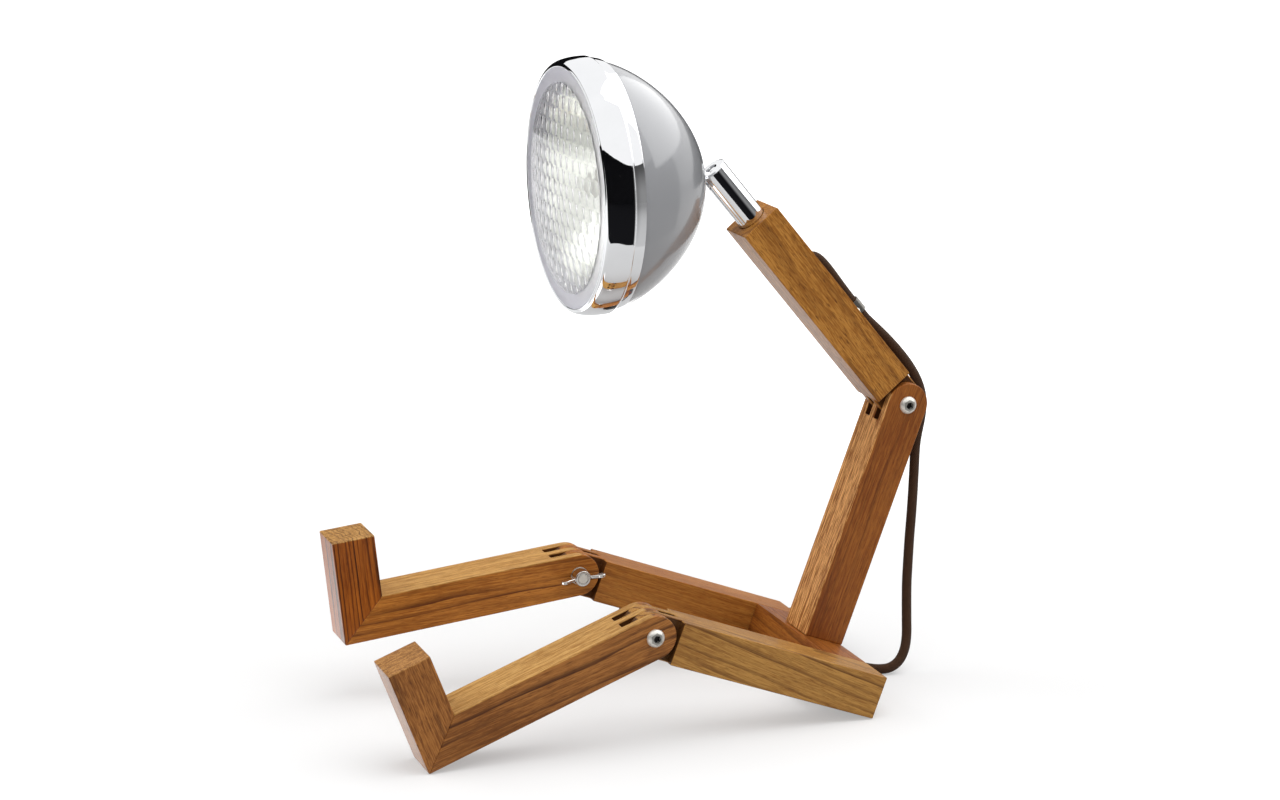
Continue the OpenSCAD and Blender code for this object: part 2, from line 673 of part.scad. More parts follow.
// Routes, in millimetres. The arm's is in the arm's own frame, and the rest are in the lamp's frame.
cord_leave_y = 14;
arm_route = [[0, cord_leave_y, exit_top_z - cord_leave_y / tan(exit_angle)], [0, 15.4, 105.8],
    [0, 16.4, 102.6], [0, 16.8, 99], [0, 16.9, 94.5], [0, 16.7, 88], [0, 16.4, 81], [0, 16.2, 74],
    [0, 16.1, 68], [0, 16.1, 61], [0, 16.1, 55]];
bend_route = [[0, 146.6, 219.8], [0, 154, 212.8], [0, 161.7, 204.9], [0, 168.8, 196.6],
    [0, 174, 189.4], [0, 178.2, 182], [0, 180.9, 174.4], [0, 181.9, 166.6], [0, 181.1, 158],
    [0, 179.3, 149], [0, 178.1, 140]];
drop_route = [[0, 177.6, 126], [0, 177.1, 112], [0, 176.4, 98], [0, 175.5, 84], [0.3, 174.7, 70],
    [0.9, 173.9, 56], [1.9, 173.5, 44], [3.4, 173.1, 32], [5.2, 172.4, 22.4], [7.2, 170.2, 14.2],
    [8.6, 165.8, 7.6], [8.6, 159.6, 4], [6.2, 153, 3.1], [1.4, 147.4, 3.1], [-4.8, 142.8, 3.1],
    [-11.4, 139.2, 3.7], [-18.4, 136.8, 5.3], [-25.4, 136, 6.8]];
switch_mid = [-61, 136];
tail_route = [[-97, 136, 6.8], [-104, 135, 5], [-110.4, 132.6, 3.4], [-117.5, 128.4, 3.1],
    [-125.2, 122.5, 3.1], [-132.6, 115.9, 3.1], [-138.9, 109.6, 3.1], [-144.4, 103.8, 3.1]];
coil_mid = [-124, 73];
coil_turn_r = 30;
coil_across = 3;
coil_layers = 2;
end_route = [[-143.2, 42, 10], [-136.2, 38.6, 11.8], [-128, 37.8, 13.8], [-119.4, 38.6, 15],
    [-110, 39.8, 15.3], [-100, 40.5, 15.2], [-93.75, 42.2, 15.3], [-89.2, 46.8, 15.7], [-87.5, 53, 16.4],
    [-89.2, 59.2, 17.3], [-93.75, 63.8, 18.3], [-100, 65.5, 19]];

// The arm's route in the lamp's frame
function from_arm(p) = [p[0],
    shift_y + waist[0] + p[1] * cos(arm_lean) - p[2] * sin(arm_lean),
    waist[1] + p[1] * sin(arm_lean) + p[2] * cos(arm_lean)];
switch_axis_z = 7;
cord_in_switch = 2;
switch_in = [switch_mid[0] + switch_l / 2 - cord_in_switch, switch_mid[1], switch_axis_z];
switch_out = [switch_mid[0] - switch_l / 2 + cord_in_switch, switch_mid[1], switch_axis_z];
coil_side_r = coil_turn_r + (coil_across - 1) * cord_d / 2;
coil_join = [coil_mid[0] - coil_side_r * sin(45), coil_mid[1] + coil_side_r * sin(45), 3.1];
coil_h = coil_layers * cord_d;
coil_leave = [coil_mid[0] - coil_side_r * sin(45), coil_mid[1] - coil_side_r * sin(45), coil_h - cord_d / 2];
plug_tail = [-106, 65.5, 19.05];

module cord_bush() {
    color(dark_plastic) waist_frame(arm_lean) intersection() {
        exit_axis() difference() {
            cylinder(d = bush_d, h = 3 * beam_h);
            translate([0, 0, -eps]) cylinder(d = cord_d + 2 * bush_wall_gap, h = 4 * beam_h);
        }
        translate([-beam_w / 2, beam_r - 7, 0]) cube([beam_w, 7, arm_l]);
    }
}
// End of the cord inside the arm, up to where it comes out of the bush
module cord_inner() {
    run = cord_leave_y / sin(exit_angle);
    color(textile) waist_frame(arm_lean) exit_axis() translate([0, 0, run - 12]) cylinder(d = cord_d, h = 12);
}
module cord_arm() color(textile) waist_frame(arm_lean) tube(arm_route);
module cord_bend()
    color(textile) tube(concat([from_arm(arm_route[len(arm_route) - 1])], bend_route, [drop_route[0]]));
module cord_drop() color(textile) tube(concat(drop_route, [switch_in]));
module cord_tail() color(textile) tube(concat([switch_out], tail_route, [coil_join]));
module cord_end() color(textile) tube(concat([coil_leave], end_route, [plug_tail]));

// Saddle over the cord on the arm's back, with a foot and a screw on each side
saddle_z = 64.3;
saddle_l = 8.6;
saddle_t = 0.8;
saddle_foot_x = 9.5;
saddle_screw_x = 6.6;
saddle_screw_d = 2.6;
saddle_screw_l = 9;
saddle_in_r = cord_d / 2 + 0.15;
cord_y = beam_r + cord_d / 2 + 0.1;
module saddle_screw_places()
    for (side = [-1, 1]) translate([side * saddle_screw_x, beam_r, saddle_z]) rotate([-90, 0, 0]) children();
module cord_saddle() {
    r = saddle_in_r + saddle_t;
    color(steel) waist_frame(arm_lean) difference() {
        translate([0, 0, saddle_z - saddle_l / 2]) linear_extrude(saddle_l) difference() {
            union() {
                translate([0, cord_y]) circle(r = r);
                translate([-r, beam_r]) square([2 * r, cord_y - beam_r]);
                translate([-saddle_foot_x, beam_r]) square([2 * saddle_foot_x, saddle_t]);
            }
            translate([0, cord_y]) circle(r = saddle_in_r);
            translate([-saddle_in_r, beam_r - 5]) square([2 * saddle_in_r, cord_y - beam_r + 5]);
        }
        saddle_screw_places() cylinder(d = saddle_screw_d + 2 * slip, h = 5);
    }
}
module saddle_screws() {
    color(steel) waist_frame(arm_lean) saddle_screw_places() {
        translate([0, 0, -saddle_screw_l]) cylinder(d = saddle_screw_d, h = saddle_screw_l + saddle_t + eps);
        translate([0, 0, saddle_t]) rotate_extrude() polygon(concat([[0, 0]],
            [for (a = [0:15:90]) [2.4 * cos(a), 1.4 * sin(a)]]));
    }
}

// Switch on the cord: a base, a cover with a window, and a rocker on a cross pin
rocker_l = 15;
rocker_w = 9;
rocker_play = 0.5;
rocker_tip = 7;
rocker_axis_z = switch_h - 3;
split_z = switch_axis_z;
module switch_outline(grow) {
    r = switch_w / 2;
    for (side = [-1, 1]) translate([side * (switch_l / 2 - r), 0]) circle(r = r + grow);
    square([switch_l - 2 * r, switch_w + 2 * grow], center = true);
}
module at_switch() translate([switch_mid[0], switch_mid[1], 0]) children();
module cord_channel() translate([-switch_l, 0, switch_axis_z]) rotate([0, 90, 0])
    cylinder(d = cord_d + 2 * slip, h = 2 * switch_l);
module switch_base() {
    color(dark_plastic) at_switch() difference() {
        linear_extrude(split_z) switch_outline(0);
        translate([0, 0, 2]) linear_extrude(switch_h) switch_outline(-3);
        cord_channel();
    }
}
module switch_cover() {
    color(dark_plastic) at_switch() difference() {
        union() {
            translate([0, 0, split_z]) linear_extrude(switch_h - split_z - 2) switch_outline(0);
            translate([0, 0, switch_h - 2 - eps]) linear_extrude(2 + eps) switch_outline(-1.5);
        }
        translate([0, 0, split_z - eps]) linear_extrude(switch_h - split_z - 4) switch_outline(-3);
        translate([-rocker_l / 2 - rocker_play, -rocker_w / 2 - rocker_play, 0])
            cube([rocker_l + 2 * rocker_play, rocker_w + 2 * rocker_play, 2 * switch_h]);
        at_rocker_pin() cylinder(d = 2 + 2 * bolt_play, h = rocker_w + 5, center = true);
        cord_channel();
    }
}
module at_rocker_pin() translate([0, 0, rocker_axis_z]) rotate([90, 0, 0]) children();
module switch_rocker() {
    color("#7b2d22") at_switch() at_rocker_pin() {
        cylinder(d = 2, h = rocker_w + 3, center = true);
        rotate([0, 0, rocker_tip]) linear_extrude(rocker_w, center = true)
            polygon([[-rocker_l / 2 + 1, -2.4], [rocker_l / 2 - 1, -2.4], [rocker_l / 2 - 0.6, 3.6],
                [0, 2.6], [-rocker_l / 2 + 0.6, 3.6]]);
    }
}

// Coil of the spare cord and the strap that ties it
tie_t = 0.6;
tie_w = 10;
coil_in_r = coil_turn_r - coil_across * cord_d / 2;
coil_out_r = coil_turn_r + coil_across * cord_d / 2;
module tie_ring() translate([coil_turn_r, 0, 0]) rotate([90, 0, 0]) linear_extrude(tie_w, center = true)
    difference() {
        translate([0, coil_h / 2]) square([coil_across * cord_d + 0.6, coil_h], center = true);
        translate([0, coil_h / 2])
            square([coil_across * cord_d + 0.6 - 2 * tie_t, coil_h - 2 * tie_t], center = true);
    }
module at_coil() translate([coil_mid[0], coil_mid[1], 0]) children();
module cord_coil() {
    corner = cord_d / 2;
    color(textile) at_coil() difference() {
        rotate_extrude($fn = 72) {
            for (r = [coil_in_r + corner, coil_out_r - corner], z = [corner, coil_h - corner])
                translate([r, z]) circle(r = corner);
            translate([coil_in_r + corner, 0]) square([coil_out_r - coil_in_r - 2 * corner, coil_h]);
            translate([coil_in_r, corner]) square([coil_out_r - coil_in_r, coil_h - 2 * corner]);
        }
        tie_ring();
    }
}
module coil_tie() color(dark_plastic) at_coil() tie_ring();

// Flat two-pin plug, lying on the coil with its pins along -X
plug_h = 13.7;
plug_w = 35;
plug_l = 35;
relief_l = 12;
plug_pin_l = 19;
pin_root_l = 6;
module at_plug() translate(plug_tail) rotate([0, 0, 180]) children();
module plug_body() {
    color(dark_plastic) at_plug() difference() {
        union() {
            rotate([0, 90, 0]) cylinder(d1 = cord_d + 2, d2 = cord_d + 4, h = relief_l + 1);
            translate([relief_l, 0, -plug_h / 2]) linear_extrude(plug_h) polygon([[0, -plug_w * 0.22],
                [plug_l * 0.35, -plug_w / 2], [plug_l, -plug_w * 0.4], [plug_l, plug_w * 0.4],
                [plug_l * 0.35, plug_w / 2], [0, plug_w * 0.22]]);
        }
        plug_pin_places() translate([0, 0, -pin_root_l]) cylinder(d = pin_d - 1, h = pin_root_l + eps);
    }
}
module plug_pin_places() for (side = [-1, 1])
    translate([relief_l + plug_l, side * pin_pitch / 2, 0]) rotate([0, 90, 0]) children();
module plug_pins() {
    color(steel) at_plug() plug_pin_places() {
        translate([0, 0, -pin_root_l]) cylinder(d = pin_d - 1, h = pin_root_l + eps);
        cylinder(d = pin_d, h = plug_pin_l - 1);
        translate([0, 0, plug_pin_l - 1 - eps]) cylinder(d1 = pin_d, d2 = pin_d - 1, h = 1 + eps);
    }
}

thigh_left();
thigh_right();
hip_bar();
frame_dowels();
trunk();
trunk_screw();
shin_left();
shin_right();
foot_left();
foot_right();
foot_dowels_left();
foot_dowels_right();
arm();
knee_bolt_left();
knee_bolt_right();
waist_bolt();
knee_washer_left();
knee_washer_right();
waist_washer();
wing_nut_left();
wing_nut_right();
wing_nut_waist();
neck_tube();
neck_nipple();
neck_washer();
neck_insert();
pressure_sleeve();
ball_cup();
swivel_ball();
head_stem();
stem_nut();
head_shell();
bezel();
bezel_screw();
lens();
lens_gasket();
reflector();
retaining_clips();
lamp_bracket();
lamp_holder();
bulb();
head_wires();
cord_bush();
cord_inner();
cord_arm();
cord_bend();
cord_drop();
cord_saddle();
saddle_screws();
switch_base();
switch_cover();
switch_rocker();
cord_tail();
cord_coil();
coil_tie();
cord_end();
plug_body();
plug_pins();
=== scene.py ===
# Desk lamp in the shape of a seated robot: wooden beams, chrome headlamp, textile cord.
import json
import math

import bmesh
import bpy
import numpy as np
from mathutils import Matrix, Vector

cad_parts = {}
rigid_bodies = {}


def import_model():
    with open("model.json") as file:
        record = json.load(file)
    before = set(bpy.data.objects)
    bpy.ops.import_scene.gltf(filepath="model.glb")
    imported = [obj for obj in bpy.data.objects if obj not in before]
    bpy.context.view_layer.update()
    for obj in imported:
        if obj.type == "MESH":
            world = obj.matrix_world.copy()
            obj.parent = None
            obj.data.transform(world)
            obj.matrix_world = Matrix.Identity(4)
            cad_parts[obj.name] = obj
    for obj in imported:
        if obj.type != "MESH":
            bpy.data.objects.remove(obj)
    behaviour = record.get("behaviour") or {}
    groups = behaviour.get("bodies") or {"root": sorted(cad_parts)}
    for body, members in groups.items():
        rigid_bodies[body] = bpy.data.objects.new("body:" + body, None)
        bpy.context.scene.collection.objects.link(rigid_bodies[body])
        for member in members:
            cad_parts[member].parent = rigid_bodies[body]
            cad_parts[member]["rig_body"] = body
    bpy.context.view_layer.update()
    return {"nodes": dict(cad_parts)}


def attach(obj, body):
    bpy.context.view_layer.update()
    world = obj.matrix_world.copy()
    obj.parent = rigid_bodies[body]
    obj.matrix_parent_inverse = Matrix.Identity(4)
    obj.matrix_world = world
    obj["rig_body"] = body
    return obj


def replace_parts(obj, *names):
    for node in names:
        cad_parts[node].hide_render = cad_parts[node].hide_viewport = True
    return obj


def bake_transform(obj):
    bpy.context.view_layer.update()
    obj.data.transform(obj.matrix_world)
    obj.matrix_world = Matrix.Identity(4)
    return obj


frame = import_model()
nodes = frame["nodes"]
mm = 0.001
weld = 2e-6  # points nearer than this, in metres, are one point
print("frame loaded:", len(nodes), "nodes")

# sizes and places that the pieces share, in millimetres and degrees
lamp = {
    "armLean": 39.5, "headDrop": 1.0, "knee": (-20.99759, 64.88295), "kneeX": 66.25,
    "waist": (165.40395, 170.81201), "ball": (47.60226, 313.71688),
}


# geometry helpers

def turnX(degrees):  # turn about X: y' = y cos - z sin, z' = y sin + z cos
    c, s = math.cos(math.radians(degrees)), math.sin(math.radians(degrees))
    return np.array([[1, 0, 0], [0, c, -s], [0, s, c]])


def inArm(points):
    return np.asarray(points, float) @ turnX(lamp["armLean"]).T + [0, *lamp["waist"]]


def inHead(points):
    return np.asarray(points, float) @ turnX(90 + lamp["headDrop"]).T + [0, *lamp["ball"]]


def newObject(name, verts, faces, smooth=True):
    mesh = bpy.data.meshes.new(name)
    mesh.from_pydata(np.asarray(verts, float) * mm, [], faces)
    mesh.polygons.foreach_set("use_smooth", [smooth] * len(mesh.polygons))
    mesh.update()
    piece = bpy.data.objects.new(name, mesh)
    bpy.context.scene.collection.objects.link(piece)
    return piece


def gridFaces(rows, cols, wrapCols=True, wrapRows=False):
    # quads between row i and i + 1, column j and j + 1 of a grid of points
    i = np.arange(rows if wrapRows else rows - 1)
    j = np.arange(cols if wrapCols else cols - 1)
    a, b = np.meshgrid(i, j, indexing="ij")
    a2, b2 = (a + 1) % rows, (b + 1) % cols
    return np.stack([a * cols + b, a * cols + b2, a2 * cols + b2, a2 * cols + b], -1).reshape(-1, 4)


def edited(piece, change):
    # the piece after change has worked on its mesh
    b = bmesh.new()
    b.from_mesh(piece.data)
    change(b)
    b.to_mesh(piece.data)
    b.free()
    return piece


def turnOutward(b):
    bmesh.ops.recalc_face_normals(b, faces=b.faces)


def cleaned(piece):
    def change(b):
        bmesh.ops.remove_doubles(b, verts=b.verts, dist=weld)
        bmesh.ops.dissolve_degenerate(b, dist=weld / 20, edges=b.edges)
        turnOutward(b)
    return edited(piece, change)


def sharpEdges(b, degrees):
    for edge in b.edges:
        edge.smooth = edge.calc_face_angle(0) < math.radians(degrees)


def sharpen(piece, degrees):
    return edited(piece, lambda b: sharpEdges(b, degrees))


def resample(profile, step):
    # points every step along a polyline
    p = np.asarray(profile, float)
    lengths = np.r_[0, np.cumsum(np.linalg.norm(np.diff(p, axis=0), axis=1))]
    t = np.linspace(0, lengths[-1], max(3, int(round(lengths[-1] / step)) + 1))
    return np.stack([np.interp(t, lengths, p[:, k]) for k in range(p.shape[1])], -1)


def spline(points, step):
    # a Catmull-Rom curve through the points, then evenly spaced:
    # 2 q(t) = 2b + (c - a) t + (2a - 5b + 4c - d) t^2 + (3b - a - 3c + d) t^3 between b and c
    p = np.asarray(points, float)
    p = np.vstack([2 * p[0] - p[1], p, 2 * p[-1] - p[-2]])
    a, b, c, d = p[:-3, None], p[1:-2, None], p[2:-1, None], p[3:, None]
    t = np.linspace(0, 1, 24, endpoint=False)[None, :, None]
    curve = 0.5 * (2 * b + (c - a) * t + (2 * a - 5 * b + 4 * c - d) * t ** 2 + (3 * b - a - 3 * c + d) * t ** 3)
    return resample(np.vstack([curve.reshape(-1, p.shape[1]), p[-2]]), step)


def lathe(name, profile, place, segments):
    # a closed profile of (r, d) carried round the axis: x = r sin a, y = r cos a, z = d
    profile = np.asarray(profile, float)
    angle = np.linspace(0, 2 * np.pi, segments, endpoint=False)
    r, d = profile[:, :1], profile[:, 1:]
    points = np.stack([r * np.sin(angle), r * np.cos(angle), d + 0 * angle], -1).reshape(-1, 3)
    faces = gridFaces(len(profile), segments, True, True)
    return cleaned(newObject(name, place(points), faces.tolist()))


def tube(name, path, radius, sides):
    # a circle carried along the path: q = p + radius (cos a side + sin a up), with u round it and v along it in metres
    p = np.asarray(path, float)
    t = np.gradient(p, axis=0)
    t /= np.linalg.norm(t, axis=1)[:, None]
    side = np.zeros_like(p)
    first = np.cross(t[0], [1, 0, 0] if abs(t[0][0]) < 0.9 else [0, 0, 1])
    side[0] = first / np.linalg.norm(first)
    for i in range(1, len(p)):  # carried along, so it doesn't twist
        v = side[i - 1] - np.dot(side[i - 1], t[i]) * t[i]
        side[i] = v / np.linalg.norm(v)
    up = np.cross(side, t)
    angle = np.linspace(0, 2 * np.pi, sides, endpoint=False)
    cosines, sines = np.cos(angle)[None, :, None], np.sin(angle)[None, :, None]
    rings = p[:, None] + radius * (cosines * side[:, None] + sines * up[:, None])
    faces = gridFaces(len(p), sides).tolist()
    faces += [list(range(sides)), [len(p) * sides - 1 - k for k in range(sides)]]
    piece = newObject(name, rings.reshape(-1, 3), faces)
    along = np.r_[0, np.cumsum(np.linalg.norm(np.diff(p, axis=0), axis=1))]
    layer = piece.data.uv_layers.new(name="strand")
    loops = np.zeros(len(piece.data.loops), int)
    piece.data.loops.foreach_get("vertex_index", loops)
    u, v = (loops % sides) / sides, along[loops // sides] * mm
    quads = (len(p) - 1) * sides * 4
    u[2:quads:4][u[2:quads:4] == 0] = 1  # the last side's far corners close the circle
    u[1:quads:4][u[1:quads:4] == 0] = 1
    layer.data.foreach_set("uv", np.stack([u, v], -1).ravel())
    return edited(piece, turnOutward)


def easedCopy(node, width, degrees):
    # a CAD node's shape with its edges eased
    source = nodes[node]
    piece = bpy.data.objects.new(node + "Eased", source.data.copy())
    bpy.context.scene.collection.objects.link(piece)
    piece.data.materials.clear()

    def change(b):
        bmesh.ops.remove_doubles(b, verts=b.verts, dist=weld)
        bmesh.ops.dissolve_limit(b, angle_limit=math.radians(0.6), verts=b.verts, edges=b.edges)
        for face in b.faces:
            face.smooth = True
        sharpEdges(b, degrees)

    edited(piece, change)
    if piece.data.has_custom_normals:
        piece.data.attributes.remove(piece.data.attributes["custom_normal"])
    bevel = piece.modifiers.new("ease", "BEVEL")
    bevel.width = width * mm
    bevel.segments = 3
    bevel.limit_method = "ANGLE"
    bevel.angle_limit = math.radians(degrees)
    bevel.use_clamp_overlap = False
    bevel.harden_normals = True
    bevel.miter_outer = "MITER_ARC"
    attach(piece, source["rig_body"])
    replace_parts(piece, node)
    return piece


# shader helpers

def linear(rgb):  # 0 to 255 screen values to linear light
    c = np.asarray(rgb, float) / 255
    c = np.where(c <= 0.04045, c / 12.92, ((c + 0.055) / 1.055) ** 2.4)
    return (*[float(x) for x in c], 1.0)


class Wire:
    # a socket that arithmetic can be written with
    def __init__(self, paint, socket):
        self.paint, self.socket = paint, socket

    def __add__(self, other):
        return self.paint.maths("ADD", self, other)

    def __sub__(self, other):
        return self.paint.maths("SUBTRACT", self, other)

    def __rsub__(self, other):
        return self.paint.maths("SUBTRACT", other, self)

    def __mul__(self, other):
        return self.paint.maths("MULTIPLY", self, other)

    __radd__, __rmul__ = __add__, __mul__


class Paint:
    # one material and what its nodes are made with
    def __init__(self, name, tree=None):
        if tree is None:
            self.material = bpy.data.materials.new(name)
            self.material.use_nodes = True
            tree = self.material.node_tree
        self.tree = tree
        tree.nodes.clear()

    def node(self, kind, settings=None, inputs=None, out=0):
        made = self.tree.nodes.new(kind)
        for key, value in (settings or {}).items():
            setattr(made, key, value)
        for key, value in (inputs or {}).items():
            self.feed(made.inputs[key], value)
        return Wire(self, made.outputs[out])

    def feed(self, socket, value):
        if isinstance(value, Wire):
            self.tree.links.new(value.socket, socket)
        else:
            socket.default_value = value

    def maths(self, operation, a, b=None):
        return self.node("ShaderNodeMath", {"operation": operation}, {0: a} if b is None else {0: a, 1: b})

    def radius(self, x, y):  # distance from the axis
        return self.maths("SQRT", x * x + y * y)

    def clamp(self, a):
        return self.node("ShaderNodeClamp", None, {0: a})

    def smooth(self, a, low, high):  # 0 below low, 1 above high, soft between
        return self.node("ShaderNodeMapRange", {"interpolation_type": "SMOOTHSTEP"}, {0: a, 1: low, 2: high})

    def mix(self, share, a, b):
        made = self.tree.nodes.new("ShaderNodeMix")
        made.data_type = "RGBA"
        for socket, value in ((made.inputs[0], share), (made.inputs[6], a), (made.inputs[7], b)):
            self.feed(socket, value)
        return Wire(self, made.outputs[2])

    def place(self, origin=(0, 0, 0), turn=(0, 0, 0)):
        # object coordinates in a piece's own frame, in millimetres
        coords = self.node("ShaderNodeTexCoord", None, None, "Object")
        return self.node("ShaderNodeMapping", {"vector_type": "TEXTURE"},
                         {"Vector": coords, "Location": [x * mm for x in origin],
                          "Rotation": [math.radians(x) for x in turn], "Scale": (mm,) * 3})

    def split(self, vector):
        made = self.tree.nodes.new("ShaderNodeSeparateXYZ")
        self.feed(made.inputs[0], vector)
        return [Wire(self, made.outputs[k]) for k in range(3)]

    def join(self, x, y, z):
        return self.node("ShaderNodeCombineXYZ", None, {0: x, 1: y, 2: z})

    def noise(self, vector, scale, detail, rough):
        return self.node("ShaderNodeTexNoise", None, {"Vector": vector, "Scale": scale, "Detail": detail,
                                                      "Roughness": rough})

    def bump(self, height, strength, distance):
        return self.node("ShaderNodeBump", None, {"Strength": strength, "Distance": distance, "Height": height})

    def finish(self, values):
        # the surface shader with these sockets
        shader = self.tree.nodes.new("ShaderNodeBsdfPrincipled")
        for key, value in values.items():
            self.feed(shader.inputs[key], value)
        output = self.tree.nodes.new("ShaderNodeOutputMaterial")
        self.tree.links.new(shader.outputs[0], output.inputs[0])
        return self.material


def dress(piece, material):
    piece.data.materials.clear()
    piece.data.materials.append(material)
    return piece


# camera and studio

camera = {
    "place": (1.64180, -0.605721, 0.60013), "azimuth": 69.761, "elevation": 13.373,
    "lens": 86.39, "sensor": 36, "reach": 50,
}


def makeCamera():
    a, e = math.radians(camera["azimuth"]), math.radians(camera["elevation"])
    back = Vector((math.sin(a) * math.cos(e), -math.cos(a) * math.cos(e), math.sin(e)))
    right = Vector((math.cos(a), math.sin(a), 0))
    up = back.cross(right)
    data = bpy.data.cameras.new("camera")
    data.lens, data.sensor_width, data.clip_end = camera["lens"], camera["sensor"], camera["reach"]
    holder = bpy.data.objects.new("camera", data)
    turned = Matrix((right, up, back)).transposed().to_4x4()
    turned.translation = camera["place"]
    holder.matrix_world = turned
    bpy.context.scene.collection.objects.link(holder)
    bpy.context.scene.camera = holder


# the dark wall and floor that only gloss sees: their edges as angles seen from the eye, and how they pale to the back
flag = {
    "eye": (0, -40, 312), "radius": 2600, "around": (-160, 180, 171), "bottom": 1.0, "flattest": 0.1,
    "azimuths": (-160, -150, -142, -135, -127, -120, -116, -112, -108, -104, -100, -95, -87, -80, -65, -52,
                 -40, -30, -15, 0, 15, 30, 45, 60, 75, 90, 105, 120, 135, 150, 165, 180),
    "topAngles": (-1, 5, 7, 7, 7, 9, 12, 13, 16, 20, 21, 22, 23, 20, 14, 4, 1, 4, 10, 16,
                  23, 29, 32.5, 34.4, 33.6, 30.6, 25, 22, 21, 21, 21, 21),
    "footAngles": (-3, -3, -3, -3, -3, -3, -3, -3, -3, -3, -2, 0, 0, 0, -3, -4, -5, -7.4, -11.6, -17,
                   -22, -30, -34, -37.6, -38, -38, -39, -38, -38, -36, -30, -24),
    "paleAzimuths": (115, 133), "wallPale": (0.26, 0.07), "floorPale": (0.56, 0.28),
    "wallReach": (312, 1310), "floorReach": (400, 2000),
}

# a soft box behind the lamp, also for gloss alone, in degrees seen from the flags' eye
softbox = {"azimuths": (154, 232, 25), "heights": (14, 84, 13), "radius": 2500, "strength": 2.4}

studio = {
    "worldDiffuse": 0.54, "floorAlbedo": 0.5, "floorHalf": 6000, "floorLevel": -0.2,
    # the floor's glow near the lamp and far away, for the camera and for gloss, and where it changes
    "floorGlow": (0.37, 1.0), "floorGloss": (0.0, 0.45), "glowReach": (260, 950),
    # bright spots on the floor that only gloss sees: middle, half widths, strength
    "glare": [((-20, -168), (150, 70), 1.5), ((-245, -204), (210, 80), 2.1), ((-515, 165), (260, 110), 1.3)],
    # name, place and size in metres, watts; all aim at one point
    "lights": [("key", (0.35, 0.4, 2.1), 2.6, 40), ("front", (-0.7, -1.6, 1.5), 1.8, 15),
               ("fill", (1.9, -1.1, 1.1), 1.6, 9)],
    "aim": (0, 0, 0.15),
}


def makeWorld():
    # white for the camera, gloss and glass, and dimmer for matt surfaces
    world = bpy.data.worlds.new("studio")
    bpy.context.scene.world = world
    world.use_nodes = True
    p = Paint("world", world.node_tree)
    path = p.tree.nodes.new("ShaderNodeLightPath")
    kinds = [Wire(p, path.outputs[kind]) for kind in ("Is Camera Ray", "Is Glossy Ray", "Is Transmission Ray")]
    seen = p.clamp(kinds[0] + kinds[1] + kinds[2])
    strength = seen * (1 - studio["worldDiffuse"]) + studio["worldDiffuse"]
    sky = p.node("ShaderNodeBackground", None, {"Color": (1, 1, 1, 1), "Strength": strength})
    out = p.tree.nodes.new("ShaderNodeOutputWorld")
    p.tree.links.new(sky.socket, out.inputs[0])


def makeFloor():
    # matt, with a glow that takes it over into the white backdrop
    half, level = studio["floorHalf"], studio["floorLevel"]
    corners = [[x * half, y * half, level] for x, y in ((-1, -1), (1, -1), (1, 1), (-1, 1))]
    floor = newObject("floor", corners, [[0, 1, 2, 3]], False)
    p = Paint("floorWhite")
    path = p.tree.nodes.new("ShaderNodeLightPath")
    direct, gloss, through = [Wire(p, path.outputs[kind])
                              for kind in ("Is Camera Ray", "Is Glossy Ray", "Is Transmission Ray")]
    x, y, _ = p.split(p.place())
    out = p.smooth(p.radius(x, y), *studio["glowReach"])
    glow, shine = [out * (studio[key][1] - studio[key][0]) + studio[key][0] for key in ("floorGlow", "floorGloss")]
    glare = []
    for middle, half, strength in studio["glare"]:
        dx, dy = (x - middle[0]) * (1 / half[0]), (y - middle[1]) * (1 / half[1])
        glare.append((1 - p.smooth(dx * dx + dy * dy, 0.2, 1.0)) * strength)
    seen = direct * glow + (gloss + through) * shine + gloss * (glare[0] + glare[1] + glare[2])
    matt = p.node("ShaderNodeBsdfDiffuse", None, {"Color": (studio["floorAlbedo"],) * 3 + (1,)})
    light = p.node("ShaderNodeEmission", None, {"Color": (1, 1, 1, 1), "Strength": seen})
    both = p.node("ShaderNodeAddShader", None, {0: matt, 1: light})
    end = p.tree.nodes.new("ShaderNodeOutputMaterial")
    p.tree.links.new(both.socket, end.inputs[0])
    dress(floor, p.material)


def makeLights():
    for name, place, size, watts in studio["lights"]:
        data = bpy.data.lights.new(name, "AREA")
        data.shape, data.size, data.energy = "DISK", size, watts
        light = bpy.data.objects.new(name, data)
        light.location = place
        light.visible_glossy = False
        light.rotation_euler = (Vector(studio["aim"]) - Vector(place)).to_track_quat("-Z", "Y").to_euler()
        bpy.context.scene.collection.objects.link(light)


def stageForGloss(name, points, rows, columns, material):
    piece = dress(newObject(name, points, gridFaces(rows, columns, False).tolist()), material)
    piece.visible_camera = piece.visible_diffuse = piece.visible_shadow = piece.visible_transmission = False


def flagPaint(name, pale, share):
    # nearly black, and paler by a grey of its own on the pale side
    p = Paint(name + "Black")
    x, y, z = p.split(p.place((*flag["eye"][:2], 0)))
    around = p.smooth(p.maths("ARCTAN2", x, y * -1.0) * (180 / math.pi), *flag["paleAzimuths"])
    low, high = pale
    grey = around * (share(p, x, y, z) * (high - low) + low)
    return p.finish({"Base Color": (0.006, 0.006, 0.007, 1), "Roughness": 0.95, "Specular IOR Level": 0.0,
                     "Emission Color": p.join(grey, grey, grey), "Emission Strength": 1.0})


